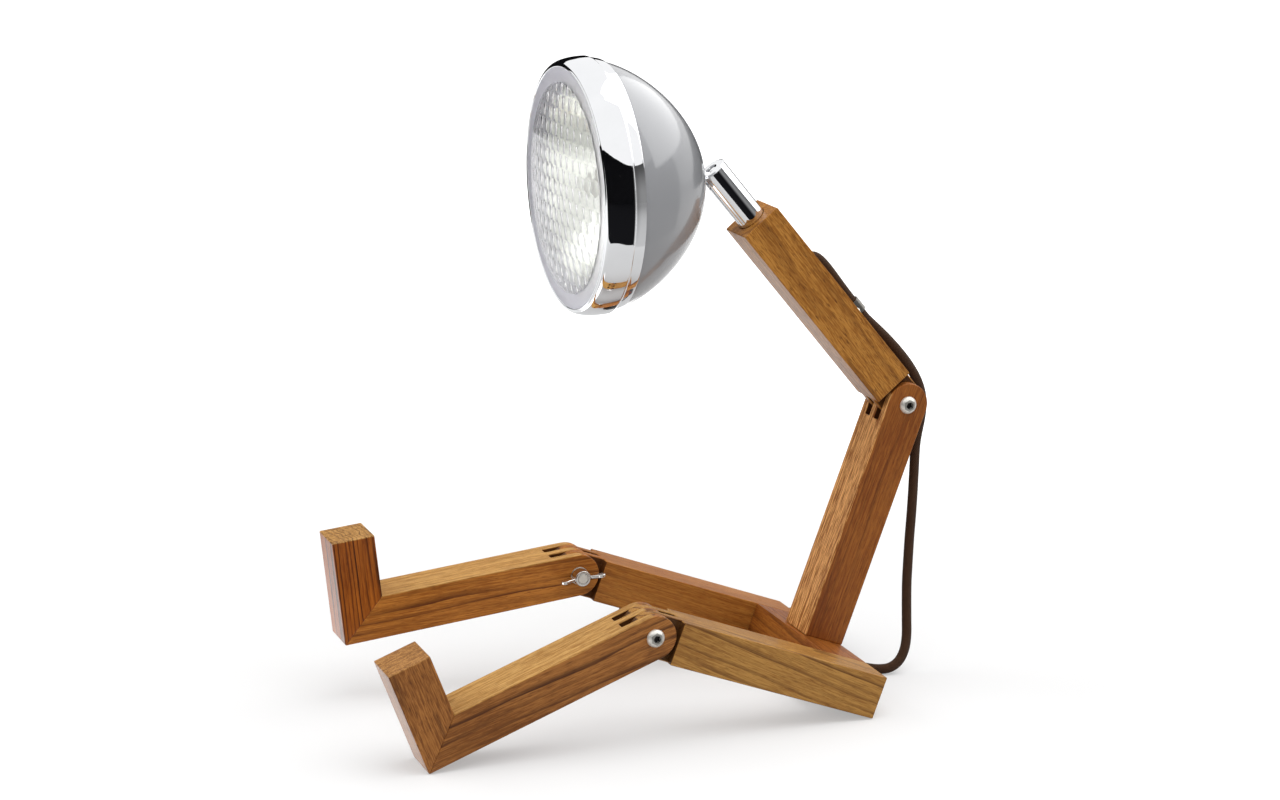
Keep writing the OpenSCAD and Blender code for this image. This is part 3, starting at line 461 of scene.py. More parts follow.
def makeFlags():
    # the wall stands at the radius, and the floor lies from where the foot angle meets the ground out to the wall
    azimuth = np.linspace(*flag["around"])
    top, foot = [np.interp(azimuth, flag["azimuths"], flag[key]) for key in ("topAngles", "footAngles")]
    across, along = np.sin(np.radians(azimuth)), -np.cos(np.radians(azimuth))
    eye, far, bottom = flag["eye"], flag["radius"], 0 * azimuth + flag["bottom"]
    near = np.minimum(eye[2] / np.tan(np.radians(np.maximum(-foot, flag["flattest"]))), far)
    upTheWall = lambda p, x, y, z: p.smooth(z, *flag["wallReach"])
    overTheFloor = lambda p, x, y, z: p.smooth(p.radius(x, y), *flag["floorReach"])
    parts = (("flagWall", flag["wallPale"], upTheWall, ((far, bottom), (far, eye[2] + far * np.tan(np.radians(top))))),
             ("flagFloor", flag["floorPale"], overTheFloor, ((near, bottom), (np.maximum(near, far), bottom))))
    for name, pale, share, lines in parts:
        points = np.concatenate([np.stack([eye[0] + r * across, eye[1] + r * along, z], -1) for r, z in lines])
        stageForGloss(name, points, 2, len(azimuth), flagPaint(name, pale, share))


def makeSoftbox():
    azimuth = np.radians(np.linspace(*softbox["azimuths"]))
    height = np.radians(np.linspace(*softbox["heights"]))[:, None]
    r, eye = softbox["radius"], flag["eye"]
    points = np.stack([eye[0] + r * np.cos(height) * np.sin(azimuth), eye[1] - r * np.cos(height) * np.cos(azimuth),
                       eye[2] + r * np.sin(height) + 0 * azimuth], -1).reshape(-1, 3)
    glow = Paint("softboxWhite").finish({"Base Color": (0, 0, 0, 1), "Emission Color": (1, 1, 1, 1),
                                         "Emission Strength": softbox["strength"]})
    stageForGloss("softbox", points, len(height), len(azimuth), glow)


makeCamera()
makeWorld()
makeFloor()
makeLights()
makeFlags()
makeSoftbox()
bpy.context.scene.view_settings.view_transform = "Standard"
print("camera and studio made")

# cord

# its run in millimetres: in the arm's frame, over the waist, down to the switch, on to the coil, and out to the plug
cord = {
    "radius": 3.0, "sides": 20, "step": 1.6, "strands": 8, "strandsPerMetre": 300,
    # where the waist's bend starts and ends, in metres
    "bendFrom": (0, 0.1466, 0.2198), "bendTo": (0, 0.1776, 0.126),
    "arm": [[0, 14, 107.5807], [0, 15.4, 105.8], [0, 16.4, 102.6], [0, 16.8, 99], [0, 16.9, 94.5], [0, 16.7, 88],
            [0, 16.4, 81], [0, 16.2, 74], [0, 16.1, 68], [0, 16.1, 61], [0, 16.1, 55]],
    "bend": [[0, 146.6, 219.8], [0, 154, 212.8], [0, 161.7, 204.9], [0, 168.8, 196.6], [0, 174, 189.4],
             [0, 178.2, 182], [0, 180.9, 174.4], [0, 181.9, 166.6], [0, 181.1, 158], [0, 179.3, 149], [0, 178.1, 140]],
    "drop": [[0, 177.6, 126], [0, 177.1, 112], [0, 176.4, 98], [0, 175.5, 84], [0.3, 174.7, 70], [0.9, 173.9, 56],
             [1.9, 173.5, 44], [3.4, 173.1, 32], [5.2, 172.4, 22.4], [7.2, 170.2, 14.2], [8.6, 165.8, 7.6],
             [8.6, 159.6, 4], [6.2, 153, 3.1], [1.4, 147.4, 3.1], [-4.8, 142.8, 3.1], [-11.4, 139.2, 3.7],
             [-18.4, 136.8, 5.3], [-25.4, 136, 6.8]],
    "tail": [[-34, 136, 7], [-61, 136, 7], [-88, 136, 7], [-97, 136, 6.8], [-104, 135, 5], [-110.4, 132.6, 3.4],
             [-117.5, 128.4, 3.1], [-125.2, 122.5, 3.1], [-132.6, 115.9, 3.1], [-138.9, 109.6, 3.1],
             [-144.4, 103.8, 3.1]],
    "end": [[-143.2, 42, 10], [-136.2, 38.6, 11.8], [-128, 37.8, 13.8], [-119.4, 38.6, 15], [-110, 39.8, 15.3],
            [-100, 40.5, 15.2], [-93.75, 42.2, 15.3], [-89.2, 46.8, 15.7], [-87.5, 53, 16.4], [-89.2, 59.2, 17.3],
            [-93.75, 63.8, 18.3], [-100, 65.5, 19], [-106, 65.5, 19.05]],
    "coilCentre": (-124, 73), "coilRadii": [36, 30, 24, 24, 30, 36, 36],
    "coilLevels": [3.05, 3.05, 3.05, 9, 9, 9, 9],
    "coilFrom": 135, "coilTurns": 6.25, "coilSteps": 16, "crossing": 0.22,
    "tones": ((36, 22, 13), (88, 60, 40)),
}


def coilPoints():
    # turn k lies at its own radius and level, and steps to the next over the last part of the turn, by s s (3 - 2 s)
    t = np.arange(0, cord["coilTurns"] + 1e-9, 1 / cord["coilSteps"])
    turn = np.minimum(t.astype(int), len(cord["coilRadii"]) - 2)
    share = np.clip((t - turn - 1 + cord["crossing"]) / cord["crossing"], 0, 1)
    share = share * share * (3 - 2 * share)
    radii, levels = np.array(cord["coilRadii"], float), np.array(cord["coilLevels"], float)
    r = radii[turn] * (1 - share) + radii[turn + 1] * share
    z = levels[turn] * (1 - share) + levels[turn + 1] * share
    angle = np.radians(cord["coilFrom"]) + t * 2 * np.pi
    return np.stack([cord["coilCentre"][0] + r * np.cos(angle), cord["coilCentre"][1] + r * np.sin(angle), z], -1)


def textilePaint():
    # braid of two browns: crossing spirals of strands on the cord's own u and v
    p = Paint("textileBraid")
    x, y, _ = p.split(p.node("ShaderNodeUVMap", {"uv_map": "strand"}))
    across, along = x * cord["strands"], y * cord["strandsPerMetre"]
    one = p.maths("SINE", (across + along) * (2 * math.pi))
    two = p.maths("SINE", (across - along) * (2 * math.pi))
    over = p.smooth(one * two, -0.25, 0.25)
    crown = p.maths("ABSOLUTE", one) * over + p.maths("ABSOLUTE", two) * (1 - over)
    fuzz = p.noise(p.place(), 2.4, 3, 0.6)
    fleck = p.noise(p.place(), 0.35, 2, 0.5)
    tone = p.clamp(crown * 0.75 + (fuzz - 0.5) * 0.7 + (fleck - 0.5) * 0.3)
    colour = p.mix(tone, *[linear(c) for c in cord["tones"]])
    height = crown * 0.8 + fuzz * 0.4
    return p.finish({"Base Color": colour, "Roughness": 0.86, "Specular IOR Level": 0.2, "Sheen Weight": 0.06,
                     "Sheen Roughness": 0.5, "Normal": p.bump(height, 0.75, 0.0004)})


def makeCord():
    points = np.vstack([inArm(cord["arm"]), cord["bend"], cord["drop"], cord["tail"], coilPoints(), cord["end"]])
    path = spline(points, cord["step"])
    piece = dress(tube("cord", path, cord["radius"], cord["sides"]), textilePaint())
    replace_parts(piece, "cord_inner", "cord_arm", "cord_bend", "cord_drop", "cord_tail", "cord_coil", "cord_end")
    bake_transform(piece)


makeCord()

# wood

tones = {  # light, middle and the lines' dark
    "olive": ((182, 134, 68), (146, 99, 45), (86, 48, 18)),
    "amber": ((184, 126, 55), (148, 93, 33), (90, 46, 13)),
    "honey": ((180, 118, 52), (148, 86, 32), (88, 44, 12)),
    "chestnut": ((194, 124, 52), (152, 88, 30), (78, 34, 9)),
    "russet": ((158, 95, 37), (125, 66, 22), (76, 34, 9)),
    "walnut": ((168, 110, 54), (124, 74, 31), (62, 30, 10)),
    "rosewood": ((176, 98, 30), (126, 62, 15), (56, 22, 5)),
}
pocketShade = (50, 24, 10)  # painted shade on the faces between the fingers, in the pockets where shade falls
poreTone = (52, 24, 8)
wood = {"ease": 0.7, "paleFace": (12.1, 12.8), "pocketInside": (12.2, 12.5), "pocketFrom": (1.5, 4)}

# each beam: its frame's origin and the grain's turn about X, the pith and the ring spacing across that frame, and where
# a face is painted paler, its tones and the face's true turn: painted light on the shins' and feet's upper faces, lit
# from above, and a paler ribbed front on the trunk. A shade is painted shade in a pocket between fingers: joint, turn,
# side of the joint, half width and end, all in millimetres and degrees.
beams = {
    "thigh_left": {"origin": (66.25, 115.419, 0), "turn": -117, "tone": "olive", "pith": (-12, -52), "spacing": 4.4,
                   "drift": 9, "seed": 3, "lines": 0.85, "speck": 0.9, "top": None,
                   "shade": [("knee", -110.5, 1, 20, 14.6), ("knee", 110.723, 1, 20, 20)]},
    "thigh_right": {"origin": (-66.25, 115.419, 0), "turn": -112, "tone": "honey", "pith": (8, -46), "spacing": 5.5,
                    "drift": 14, "seed": 11, "lines": 0.75, "speck": 0.8, "top": None,
                    "shade": [("knee", -110.5, 1, 20, 14.6), ("knee", 96, 1, 20, 20)]},
    "hip_bar": {"origin": (0, 115.419, 0), "turn": -20.5, "tone": "russet", "pith": (12, 50), "spacing": 5,
                "drift": 12, "seed": 17, "lines": 0.6, "speck": 1.0, "top": None, "across": True},
    "trunk": {"origin": (0, 165.404, 170.812), "turn": -20.5, "tone": "russet", "pith": (48, 30), "spacing": 4.0,
              "drift": 9, "seed": 23, "lines": 0.45, "speck": 0.9, "top": "front",
              "paleFaceTones": ((238, 176, 108), (134, 78, 32)), "shade": [("waist", -20.5, -1, 9.4, 20)]},
    "arm": {"origin": (0, 165.404, 170.812), "turn": 38, "tone": "amber", "pith": (52, -34), "spacing": 7,
            "drift": 16, "seed": 31, "lines": 0.55, "speck": 1.7, "top": None,
            "shade": [("waist", 39.5, 1, 20, 14.6), ("waist", -20.5, -1, 20, 20)]},
    "shin_left": {"origin": (66.25, -20.998, 64.883), "turn": 108, "tone": "walnut", "pith": (10, 50), "spacing": 5.6,
                  "drift": 14, "seed": 41, "lines": 0.95, "speck": 0.9, "top": "instep", "true": 110.723,
                  "paleFaceTones": ((200, 156, 90), (158, 112, 52)), "shade": [("knee", 110.723, 1, 9.4, 20)]},
    "shin_right": {"origin": (-66.25, -20.998, 64.883), "turn": 94, "tone": "chestnut", "pith": (12, 48), "spacing": 6,
                   "drift": 14, "seed": 47, "lines": 0.9, "speck": 0.9, "top": "instep", "true": 96,
                   "paleFaceTones": ((206, 159, 92), (164, 117, 57)), "shade": [("knee", 96, 1, 9.4, 20)]},
    "foot_left": {"origin": (66.25, -20.998, 64.883), "turn": 20.723, "tone": "walnut", "pith": (-50, -140),
                  "spacing": 5, "drift": 10, "seed": 53, "lines": 0.6, "speck": 1.5, "top": "toes",
                  "paleFaceTones": ((182, 132, 74), (132, 88, 44))},
    "foot_right": {"origin": (-66.25, -20.998, 64.883), "turn": 6, "tone": "rosewood", "pith": (24, -270),
                   "spacing": 2.7, "drift": 6, "seed": 59, "lines": 1.1, "speck": 0.6, "top": "toes",
                   "paleFaceTones": ((199, 152, 88), (146, 104, 54))},
}


def woodPaint(name, b):
    # growth rings about a pith that lies outside the beam, streaks and pores drawn out along the grain
    p = Paint(name + "Wood")
    light, mid, dark = [linear(c) for c in tones[b["tone"]]]
    x, y, z = p.split(p.place(b["origin"], (b["turn"], 0, 0)))
    if b.get("across"):
        x, y, z = y, z, x
    seed = b["seed"] * 7.31
    # slow and bend let the rings wander, weight makes some years' lines stronger, and the streaks, the short dashes,
    # the pores and the broad patches come from fine, dash, pore and broad
    slow = p.noise(p.join(x * 0.045 + seed, y * 0.045, z * 0.0075), 1.0, 2, 0.5)
    bend = p.noise(p.join(x * 0.12, y * 0.12 + seed, z * 0.007), 1.0, 2, 0.45)
    dx, dy = x - b["pith"][0], y - b["pith"][1]
    ring = p.radius(dx, dy) + (slow - 0.5) * b["drift"] + (bend - 0.5) * 6
    year = ring * (1 / b["spacing"])
    part = p.maths("FRACT", year)
    late = p.smooth(part, 0.45, 0.93) * (1 - p.smooth(part, 0.94, 1.0))
    weight = p.smooth(p.noise(p.join(p.maths("FLOOR", year) * 3.7 + seed, z * 0.008, 0.0), 1.0, 1, 0.5), 0.36, 0.62)
    fine = p.noise(p.join(x * 1.0 + seed, y * 1.0, z * 0.02), 1.0, 3, 0.62)
    dash = p.noise(p.join(x * 1.25, y * 1.25 + seed, z * 0.11), 1.0, 2, 0.6)
    pore = p.smooth(p.noise(p.join(x * 2.4 + seed, y * 2.4, z * 0.2), 1.0, 1, 0.5), 0.58, 0.7)
    broad = p.noise(p.join(x * 0.035 + seed, y * 0.035, z * 0.014), 1.0, 2, 0.5)
    tone = p.clamp(0.5 + (fine - 0.5) * 2.4 + (dash - 0.5) * 2.6 * b["speck"] + (broad - 0.5) * 1.7)
    colour = p.mix(tone, mid, light)
    if b["top"]:  # the paler face: painted light on the shins' tops and the feet's upper ends, lit from above, and a paler front with ribs on the trunk
        _, v, w = p.split(p.place(b["origin"], (b.get("true", b["turn"]), 0, 0)))
        if b["top"] == "toes":
            spots = np.array([v.co for v in nodes[name].data.vertices]) / mm - b["origin"]
            reach = float((spots @ turnX(b["turn"]))[:, 2].max())
            pale = p.smooth(w, reach - 0.9, reach - 0.4)
        else:
            pale = p.smooth(v * (-1.0 if b["top"] == "front" else 1.0), *wood["paleFace"])
        rib = p.noise(p.join(x * (1.5 if b["top"] == "front" else 0.8), y * 0.2 + seed, z * 0.012), 1.0, 2, 0.6)
        grain = p.mix(p.smooth(rib * 0.5 + dash * 0.5, 0.41, 0.59), *[linear(c) for c in b["paleFaceTones"][::-1]])
        colour = p.mix(pale * 0.92, colour, grain)
        late = late * (1 - pale * (0.3 if b["top"] == "toes" else 0.8))
    colour = p.mix(p.clamp(late * (weight * 0.75 + 0.18) * (fine * 0.9 + 0.5) * b["lines"]), colour, dark)
    colour = p.mix(p.clamp(pore * 0.38 * b["speck"]), colour, linear(poreTone))
    for joint, turn, away, half, end in b.get("shade", ()):  # painted shade in the pockets between fingers, seen from the joint: beside it, below the beam's faces
        u, v, w = p.split(p.place((b["origin"][0], *lamp[joint]), (turn, 0, 0)))
        below = 1 - p.smooth(p.maths("ABSOLUTE", v), *wood["pocketInside"])
        beside = 1 - p.smooth(p.maths("ABSOLUTE", u), half, half + 0.1)
        along = p.smooth(w * away, *wood["pocketFrom"]) * (1 - p.smooth(w * away, end, end + 0.15))
        colour = p.mix(below * beside * along * 0.85, colour, linear(pocketShade))
    height = fine * 0.4 + dash * 0.3 - pore * 0.9 - late * 0.15
    return p.finish({"Base Color": colour, "Roughness": 0.44 + (fine - 0.5) * 0.25 + pore * 0.12,
                     "Specular IOR Level": 0.15, "Coat Weight": 0.14, "Coat Roughness": 0.22,
                     "Normal": p.bump(height, 0.18, 0.00025)})


def makeBeams():
    for name, b in beams.items():
        dress(easedCopy(name, wood["ease"], 40), woodPaint(name, b))
    print("beams made:", len(beams))


makeBeams()

# metal and plastic finishes


def metalPaint(name, colour, rough, smudge=0.03, scale=0.08):
    p = Paint(name)
    cloud = p.noise(p.place(), scale, 3, 0.6)
    rub = p.noise(p.place(), 1.7, 2, 0.6)
    return p.finish({"Base Color": p.mix(p.clamp(cloud), linear([c * 0.97 for c in colour]), linear(colour)),
                     "Metallic": 1.0, "Roughness": rough + (cloud - 0.5) * smudge + (rub - 0.5) * smudge * 0.5})


def plasticPaint(name, colour, rough, grain=0.15):
    p = Paint(name)
    speck = p.noise(p.place(), 3.2, 2, 0.6)
    cloud = p.noise(p.place(), 0.12, 2, 0.5)
    return p.finish({"Base Color": p.mix(p.clamp(cloud), linear([c * 0.86 for c in colour]), linear(colour)),
                     "Roughness": rough + (cloud - 0.5) * 0.12,
                     "Normal": p.bump(speck, grain, 0.0001)})


finishes = {
    "chrome": metalPaint("chromePolished", (248, 249, 251), 0.03, 0.015),
    "nickel": metalPaint("nickelBright", (232, 229, 221), 0.3, 0.08, 0.5),
    "bright": metalPaint("wingBright", (226, 224, 220), 0.16, 0.06, 0.5),
    "steel": metalPaint("saddleSteel", (150, 146, 140), 0.3, 0.1, 0.4),
    "brass": metalPaint("brassTurned", (206, 170, 100), 0.25, 0.08, 0.4),
    "black": plasticPaint("blackPlastic", (34, 31, 29), 0.42, 0.35),
    "nylon": plasticPaint("nylonSleeve", (228, 222, 208), 0.5),
    "ceramic": plasticPaint("ceramicHolder", (232, 226, 212), 0.35, 0.1),
    "gasket": plasticPaint("gasketRubber", (186, 184, 194), 0.6, 0.2),
    "wire": plasticPaint("wireCoat", (120, 70, 52), 0.5),
    "red": plasticPaint("rockerRed", (120, 34, 26), 0.25, 0.05),
}

# joint hardware

# finish, and the width of the eased edges
hardware = {
    "knee_washer_left": ("nickel", 0.15), "knee_washer_right": ("nickel", 0.15), "waist_washer": ("nickel", 0.15),
    "wing_nut_left": ("bright", 0.5), "wing_nut_right": ("bright", 0.5), "wing_nut_waist": ("bright", 0.5),
    "neck_tube": ("chrome", 0.35), "cord_saddle": ("steel", 0.15), "bezel_screw": ("nickel", 0.15),
    "trunk_screw": ("nickel", 0.15), "lamp_bracket": ("nickel", 0.15), "retaining_clips": ("nickel", 0.15),
}

# the middle of each bolt, and the side that its head is on
bolts = {"knee_bolt_left": ((lamp["kneeX"], *lamp["knee"]), 1),
         "knee_bolt_right": ((-lamp["kneeX"], *lamp["knee"]), -1),
         "waist_bolt": ((0, *lamp["waist"]), 1)}
# the socket's dark and the grey ring round it are painted shade in and round the recess
bolt = {"ease": 0.25, "across": 3.6, "plate": ((232, 229, 220), (242, 240, 233)), "grooveShade": (138, 136, 130),
        "socket": (46, 44, 42)}


def boltPaint(place, side):
    # satin plating with painted shade: the hex socket painted dark as shade in the recess, and a grey ring round it
    # painted as the shade of a groove. A point is inside the hexagon where |y cos a + z sin a| stays under half its
    # width for a = 0,
    # 60 and 120 degrees
    p = Paint("boltSatin")
    x, y, z = p.split(p.place(place))
    flats = [p.maths("ABSOLUTE", y * math.cos(a) + z * math.sin(a)) for a in np.radians([0, 60, 120])]
    out = p.maths("MAXIMUM", p.maths("MAXIMUM", *flats[:2]), flats[2]) - bolt["across"] / 2
    head = p.smooth(x * side, 2, 4)
    socket = (1 - p.smooth(out, -0.05, 0.15)) * head
    grooveShade = (1 - p.smooth(out, 1.2, 1.7)) * head
    cloud = p.noise(p.place(), 0.5, 2, 0.6)
    plate = p.mix(p.clamp(cloud), *[linear(c) for c in bolt["plate"]])
    plate = p.mix(grooveShade * 0.8, plate, linear(bolt["grooveShade"]))
    return p.finish({"Base Color": p.mix(socket, plate, linear(bolt["socket"])), "Metallic": 0.6 + socket * 0.4,
                     "Roughness": 0.34 + (cloud - 0.5) * 0.08})


def makeHardware():
    for node, where in bolts.items():
        dress(easedCopy(node, bolt["ease"], 38), boltPaint(*where))
    for node, (finish, width) in hardware.items():
        dress(easedCopy(node, width, 38), finishes[finish])
    print("hardware made:", len(bolts) + len(hardware))


makeHardware()

# head

head = {
    "shellR": 71.4, "mouth": 71.1, "depth": 59.3, "flat": 0.99, "wall": 1.2, "skirt": 5.0, "holeR": 3.05,
    "opening": 69.1, "front": 94.0, "bandR": 74.7, "bandFront": 93.4, "bandL": 14.7, "bandRise": 4.2,
    "step": 77.7, "stepR": 74.0, "narrowL": 6.1, "tail": 70.7, "tailR": 72.8, "bezelWall": 1.0,
    "lensR": 70.1, "lensFront": 93.0, "lensT": 3.0, "rise": 5.0, "flatR": 68.0, "runOut": 6.5,
    "fluteR": 60.0, "fluteEnd": 1.2, "cell": 9.5, "fluteH": 0.32,
    "neckR": 13.0, "bowlBack": 36.0, "bowlTop": 87.5, "bowlR": 66.1,
}
headTones = {
    "lacquer": ((142, 143, 146), (147, 148, 151)),
    "glass": ((249, 250, 248), (252, 253, 251)), "lowGlass": (228, 229, 227), "cellBorder": (186, 189, 192),
    # the lens ring's glow is painted light on its rim
    "ring": (252, 251, 254), "ringGlow": (62, 62, 65),
    "bowl": ((255, 255, 255), (236, 237, 230)), "flange": (196, 194, 204),
}


def shellPaint():
    p = Paint("greyLacquer")
    cloud = p.noise(p.place(), 0.02, 3, 0.5)
    speck = p.noise(p.place(), 1.1, 2, 0.6)
    return p.finish({"Base Color": p.mix(p.clamp(cloud), *[linear(c) for c in headTones["lacquer"]]),
                     "Roughness": 0.4 + (cloud - 0.5) * 0.05, "Specular IOR Level": 0.3,
                     "Coat Weight": 1.0, "Coat Roughness": 0.11, "Coat IOR": 1.6,
                     "Normal": p.bump(speck, 0.04, 0.0001)})


def makeShell():
    # the dome's radius is R (1 - u^1.413)^0.504 at the share u of its depth, a rounded cone with a soft nose
    h = head
    u = h["flat"] * np.linspace(0, 1, 72) ** 0.8
    radius = h["shellR"] * (1 - u ** 1.413) ** 0.504
    outer = np.stack([radius, h["mouth"] - h["depth"] * u], -1)
    inner = np.stack([radius - h["wall"] * (1 - u * u), h["mouth"] - h["depth"] * u + h["wall"] * u * u], -1)
    top = h["mouth"] + h["skirt"]
    profile = np.vstack([[[h["holeR"], outer[-1][1]]], outer[::-1],
                         [[h["shellR"], top], [h["shellR"] - h["wall"], top]],
                         inner, [[h["holeR"], inner[-1][1]]]])
    piece = sharpen(lathe("headShell", profile, inHead, 224), 35)
    dress(piece, shellPaint())
    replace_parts(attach(piece, "head"), "head_shell")


def near(radius, level, steps):  # points of a profile about one of its corners
    return [[radius + out, level + up] for out, up in steps]


def makeBezel():
    # the wide band bulges as a quarter of an ellipse: r = R - rise (1 - sin a), level = front - length (1 - cos a)
    h = head
    w = h["bezelWall"]
    a = np.radians(np.linspace(0, 90, 40))
    band = np.stack([h["bandR"] - h["bandRise"] * (1 - np.sin(a)), h["bandFront"] - h["bandL"] * (1 - np.cos(a))], -1)
    lining = band[12:] - [w, 0]
    lip = near(h["opening"], h["front"], ((0.05, -0.9), (0, -0.5), (0.12, -0.2), (0.4, -0.04), (0.8, -0.12)))
    t = np.linspace(0, 1, 12)[:, None]  # the narrow band draws in by 0.7 t + 0.3 t t on the way back
    narrow = np.hstack([h["stepR"] - (h["stepR"] - h["tailR"]) * (0.7 * t + 0.3 * t * t),
                        h["step"] - 0.6 - h["narrowL"] * t])
    rear = [*near(h["bandR"], h["step"], ((0, 0.35), (-0.12, 0.08), (-0.45, -0.22))),
            [h["stepR"] + 0.1, h["step"] - 0.4], *narrow,
            *near(h["tailR"], h["tail"], ((-0.1, 0.08), (-0.5, 0), (-w, 0.2))),
            *near(h["stepR"], h["step"], ((-w, -3), (-w, -0.4))), [h["bandR"] - w, h["step"]]]
    rim = near(h["lensR"], h["lensFront"], ((0.9, -1), (0.15, -0.02)))
    profile = np.vstack([lip, band, rear, lining[::-1], rim])
    piece = sharpen(lathe("bezelRing", profile, inHead, 288), 50)
    dress(piece, finishes["chrome"])
    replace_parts(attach(piece, "head"), "bezel")


def honeycomb(x, y, cell):
    # height of a dome in each cell of a honeycomb: the highest of two staggered sets of caps
    tall = cell * math.sqrt(3)
    best = np.full(x.shape, -9.0)
    for ox, oy in ((0, 0), (cell / 2, tall / 2)):
        dx = (x - ox + cell / 2) % cell - cell / 2
        dy = (y - oy + tall / 2) % tall - tall / 2
        best = np.maximum(best, 1 - (dx ** 2 + dy ** 2) / (cell / math.sqrt(3)) ** 2)
    return best


def lensPaint():
    # clear glass, a little greyer along the borders of the cells on its back and in its lower half, with a satin ring
    # round the fluted field that is given a faint painted glow
    h = head
    p = Paint("lensGlass")
    x, y, z = p.split(p.place((0, *lamp["ball"]), (90 + lamp["headDrop"], 0, 0)))
    tall = h["cell"] * math.sqrt(3)
    caps = []
    for shift in (0, 0.5):  # the honeycomb of the glass's back again, kept positive for the fraction by 100 cells
        dx = (p.maths("FRACT", x * (1 / h["cell"]) - (shift - 100.5)) - 0.5) * h["cell"]
        dy = (p.maths("FRACT", y * (1 / tall) - (shift - 100.5)) - 0.5) * tall
        caps.append(1 - (dx * dx + dy * dy) * (3 / h["cell"] ** 2))
    square = x * x + y * y
    r = p.maths("SQRT", square)
    dome = h["rise"] * (1 - square * (1 / h["opening"] ** 2))
    onBack = 1 - p.smooth(z - dome, h["lensFront"] - 2.2, h["lensFront"] - 1.0)
    inField = 1 - p.smooth(r, h["fluteR"] - 2, h["fluteR"])
    border = (1 - p.smooth(p.maths("MAXIMUM", *caps), 0.02, 0.34)) * onBack * inField
    rim = p.smooth(r, h["fluteR"] - 0.2, h["fluteR"] + 1.2)
    cloud = p.noise(p.place(), 0.05, 2, 0.5)
    clear = p.mix(p.clamp(cloud), *[linear(c) for c in headTones["glass"]])
    clear = p.mix(p.smooth(y, -42, 2), linear(headTones["lowGlass"]), clear)
    clear = p.mix(border, clear, linear(headTones["cellBorder"]))
    return p.finish({"Base Color": p.mix(rim, clear, linear(headTones["ring"])),
                     "Roughness": 0.03 + cloud * 0.02 + border * 0.1 + rim * 0.4,
                     "Transmission Weight": 1.0, "IOR": 1.49,
                     "Emission Color": p.mix(rim, linear((0, 0, 0)), linear(headTones["ringGlow"])),
                     "Emission Strength": 1.0})


def makeLens():
    # both faces rise as a dome, rise (1 - (r / opening)^2). The back has the honeycomb, and runs out flat at the rim
    h = head
    segments, rings = 420, 84
    angle = np.linspace(0, 2 * np.pi, segments, endpoint=False)
    r = np.linspace(0.35, h["lensR"] - 0.6, rings)[:, None]
    dome = h["rise"] * np.clip(1 - (r / h["opening"]) ** 2, 0, 1)
    x, y = r * np.sin(angle), r * np.cos(angle)
    front = h["lensFront"] + dome + 0 * x
    base = h["lensFront"] - h["lensT"]
    inside = np.clip((h["fluteR"] - r) / h["fluteEnd"], 0, 1)
    fluted = base + dome - h["fluteH"] * honeycomb(x, y, h["cell"]) * inside
    back = np.where(r > h["fluteR"] + 0.1, base + dome * np.clip((h["flatR"] - r) / h["runOut"], 0, 1), fluted)
    edge = [np.stack([h["lensR"] * np.sin(angle), h["lensR"] * np.cos(angle), level + 0 * angle], -1)[None]
            for level in (h["lensFront"] - 0.5, base + 0.2)]
    grid = np.concatenate([np.stack([x, y, front], -1), *edge, np.stack([x, y, back], -1)[::-1]])
    count = len(grid)
    faces = gridFaces(count, segments).tolist()
    faces += [list(range(segments)), [count * segments - 1 - k for k in range(segments)]]
    piece = cleaned(newObject("lensDisc", inHead(grid.reshape(-1, 3)), faces))
    dress(sharpen(piece, 60), lensPaint())
    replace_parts(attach(piece, "head"), "lens")


def mirrorPaint():
    # bright at the neck, greyer towards the mouth, and a satin flange under the lens's rim
    p = Paint("mirrorBowl")
    x, y, _ = p.split(p.place((0, *lamp["ball"]), (90 + lamp["headDrop"], 0, 0)))
    r = p.radius(x, y)
    flange = p.smooth(r, 59.5, 61.5)
    cloud = p.noise(p.place(), 0.06, 2, 0.5)
    bowl = p.mix(p.clamp(p.smooth(r, 18, 60) + (cloud - 0.5) * 0.2), *[linear(c) for c in headTones["bowl"]])
    return p.finish({"Base Color": p.mix(flange, bowl, linear(headTones["flange"])),
                     "Metallic": 1.0, "Roughness": flange * 0.2 + 0.26 + (cloud - 0.5) * 0.04})


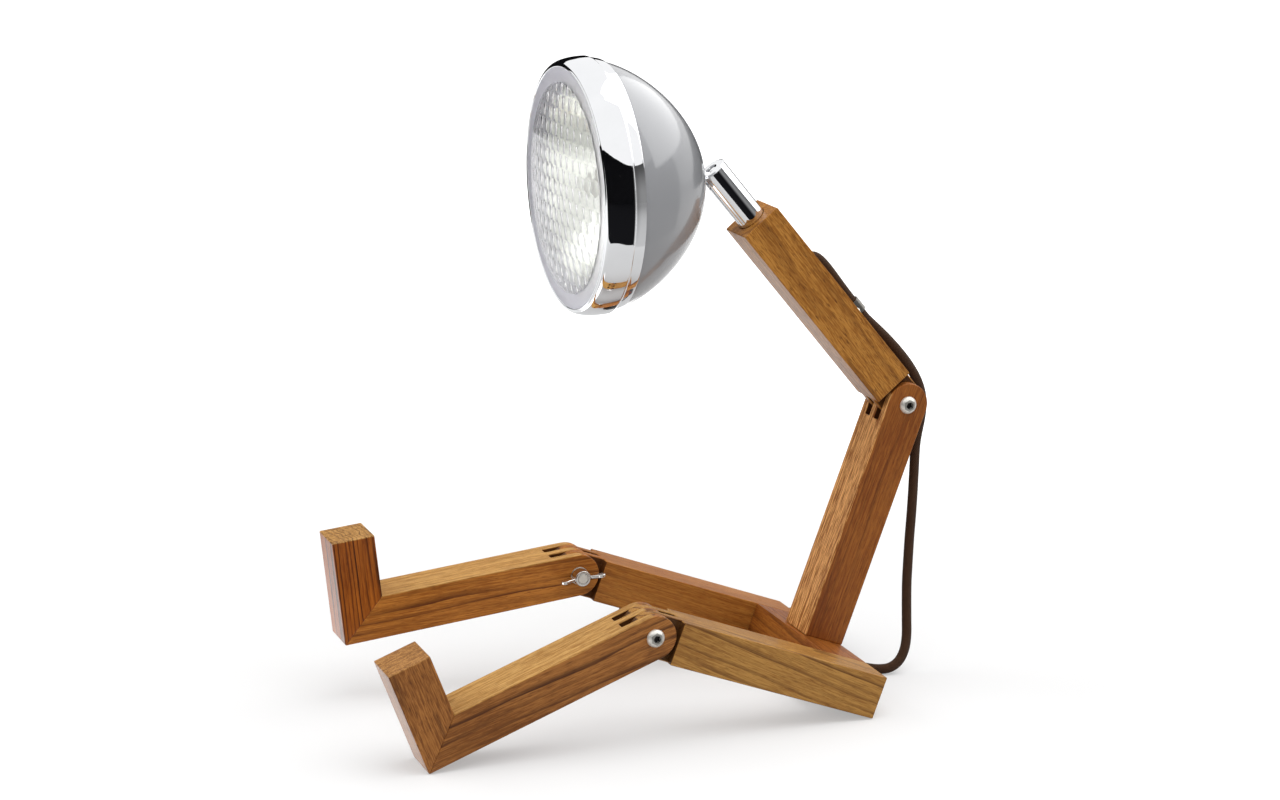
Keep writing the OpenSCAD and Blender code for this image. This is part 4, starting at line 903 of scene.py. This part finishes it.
def makeReflector():
    # a paraboloid: the level grows with r^2 - neck^2 from the neck to the flange
    h = head
    r = np.linspace(h["neckR"], h["bowlR"], 64)
    share = (r ** 2 - h["neckR"] ** 2) / (h["bowlR"] ** 2 - h["neckR"] ** 2)
    level = h["bowlBack"] + (h["bowlTop"] - h["bowlBack"]) * share
    bowl = np.stack([r, level + 1], -1)
    behind = np.stack([r + 0.8, level], -1)[::-1]
    profile = np.vstack([bowl, [[h["lensR"] - 0.1, h["bowlTop"] + 1], [h["lensR"] - 0.1, h["bowlTop"]]], behind])
    piece = sharpen(lathe("reflectorBowl", profile, inHead, 160), 35)
    dress(piece, mirrorPaint())
    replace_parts(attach(piece, "head"), "reflector")


bulb = {
    "base": 43.6, "radius": 8.0, "straight": 30.0, "foot": [[6.4, 0], [6.5, 0.4], [7.5, 13.6], [7.6, 14], [8, 15]],
    "tones": ((238, 236, 228), (250, 249, 245)),
}


def bulbPaint():
    p = Paint("bulbGlass")
    cloud = p.noise(p.place(), 0.3, 2, 0.5)
    return p.finish({"Base Color": p.mix(p.clamp(cloud), *[linear(c) for c in bulb["tones"]]),
                     "Roughness": 0.32 + cloud * 0.1})


def makeBulb():
    # a foot, a straight capsule and half a ball, closed at the axis
    a = np.radians(np.linspace(0, 90, 18))[1:, None]
    cap = np.hstack([bulb["radius"] * np.cos(a), bulb["straight"] + bulb["radius"] * np.sin(a)])
    cap[-1, 0] = 0.02
    profile = np.vstack([[[0.02, 0]], bulb["foot"], [[bulb["radius"], bulb["straight"]]], cap]) + [0, bulb["base"]]
    piece = sharpen(lathe("bulbCapsule", profile, inHead, 48), 40)
    dress(piece, bulbPaint())
    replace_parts(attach(piece, "head"), "bulb")


makeShell()
makeBezel()
makeLens()
makeReflector()
makeBulb()
print("head made")

# the CAD nodes that keep their own shape

plain = {
    "frame_dowels": "nylon", "foot_dowels_left": "nylon", "foot_dowels_right": "nylon", "neck_nipple": "brass",
    "neck_washer": "brass", "neck_insert": "brass", "pressure_sleeve": "nylon", "ball_cup": "brass",
    "cord_bush": "black", "saddle_screws": "nickel", "switch_base": "black", "switch_cover": "black",
    "switch_rocker": "red", "plug_body": "black", "plug_pins": "nickel", "coil_tie": "black",
    "lamp_holder": "ceramic", "swivel_ball": "chrome", "head_stem": "chrome", "stem_nut": "nickel",
    "lens_gasket": "gasket", "head_wires": "wire",
}
for node, finish in plain.items():
    dress(nodes[node], finishes[finish])
print("carried nodes dressed:", len(plain))
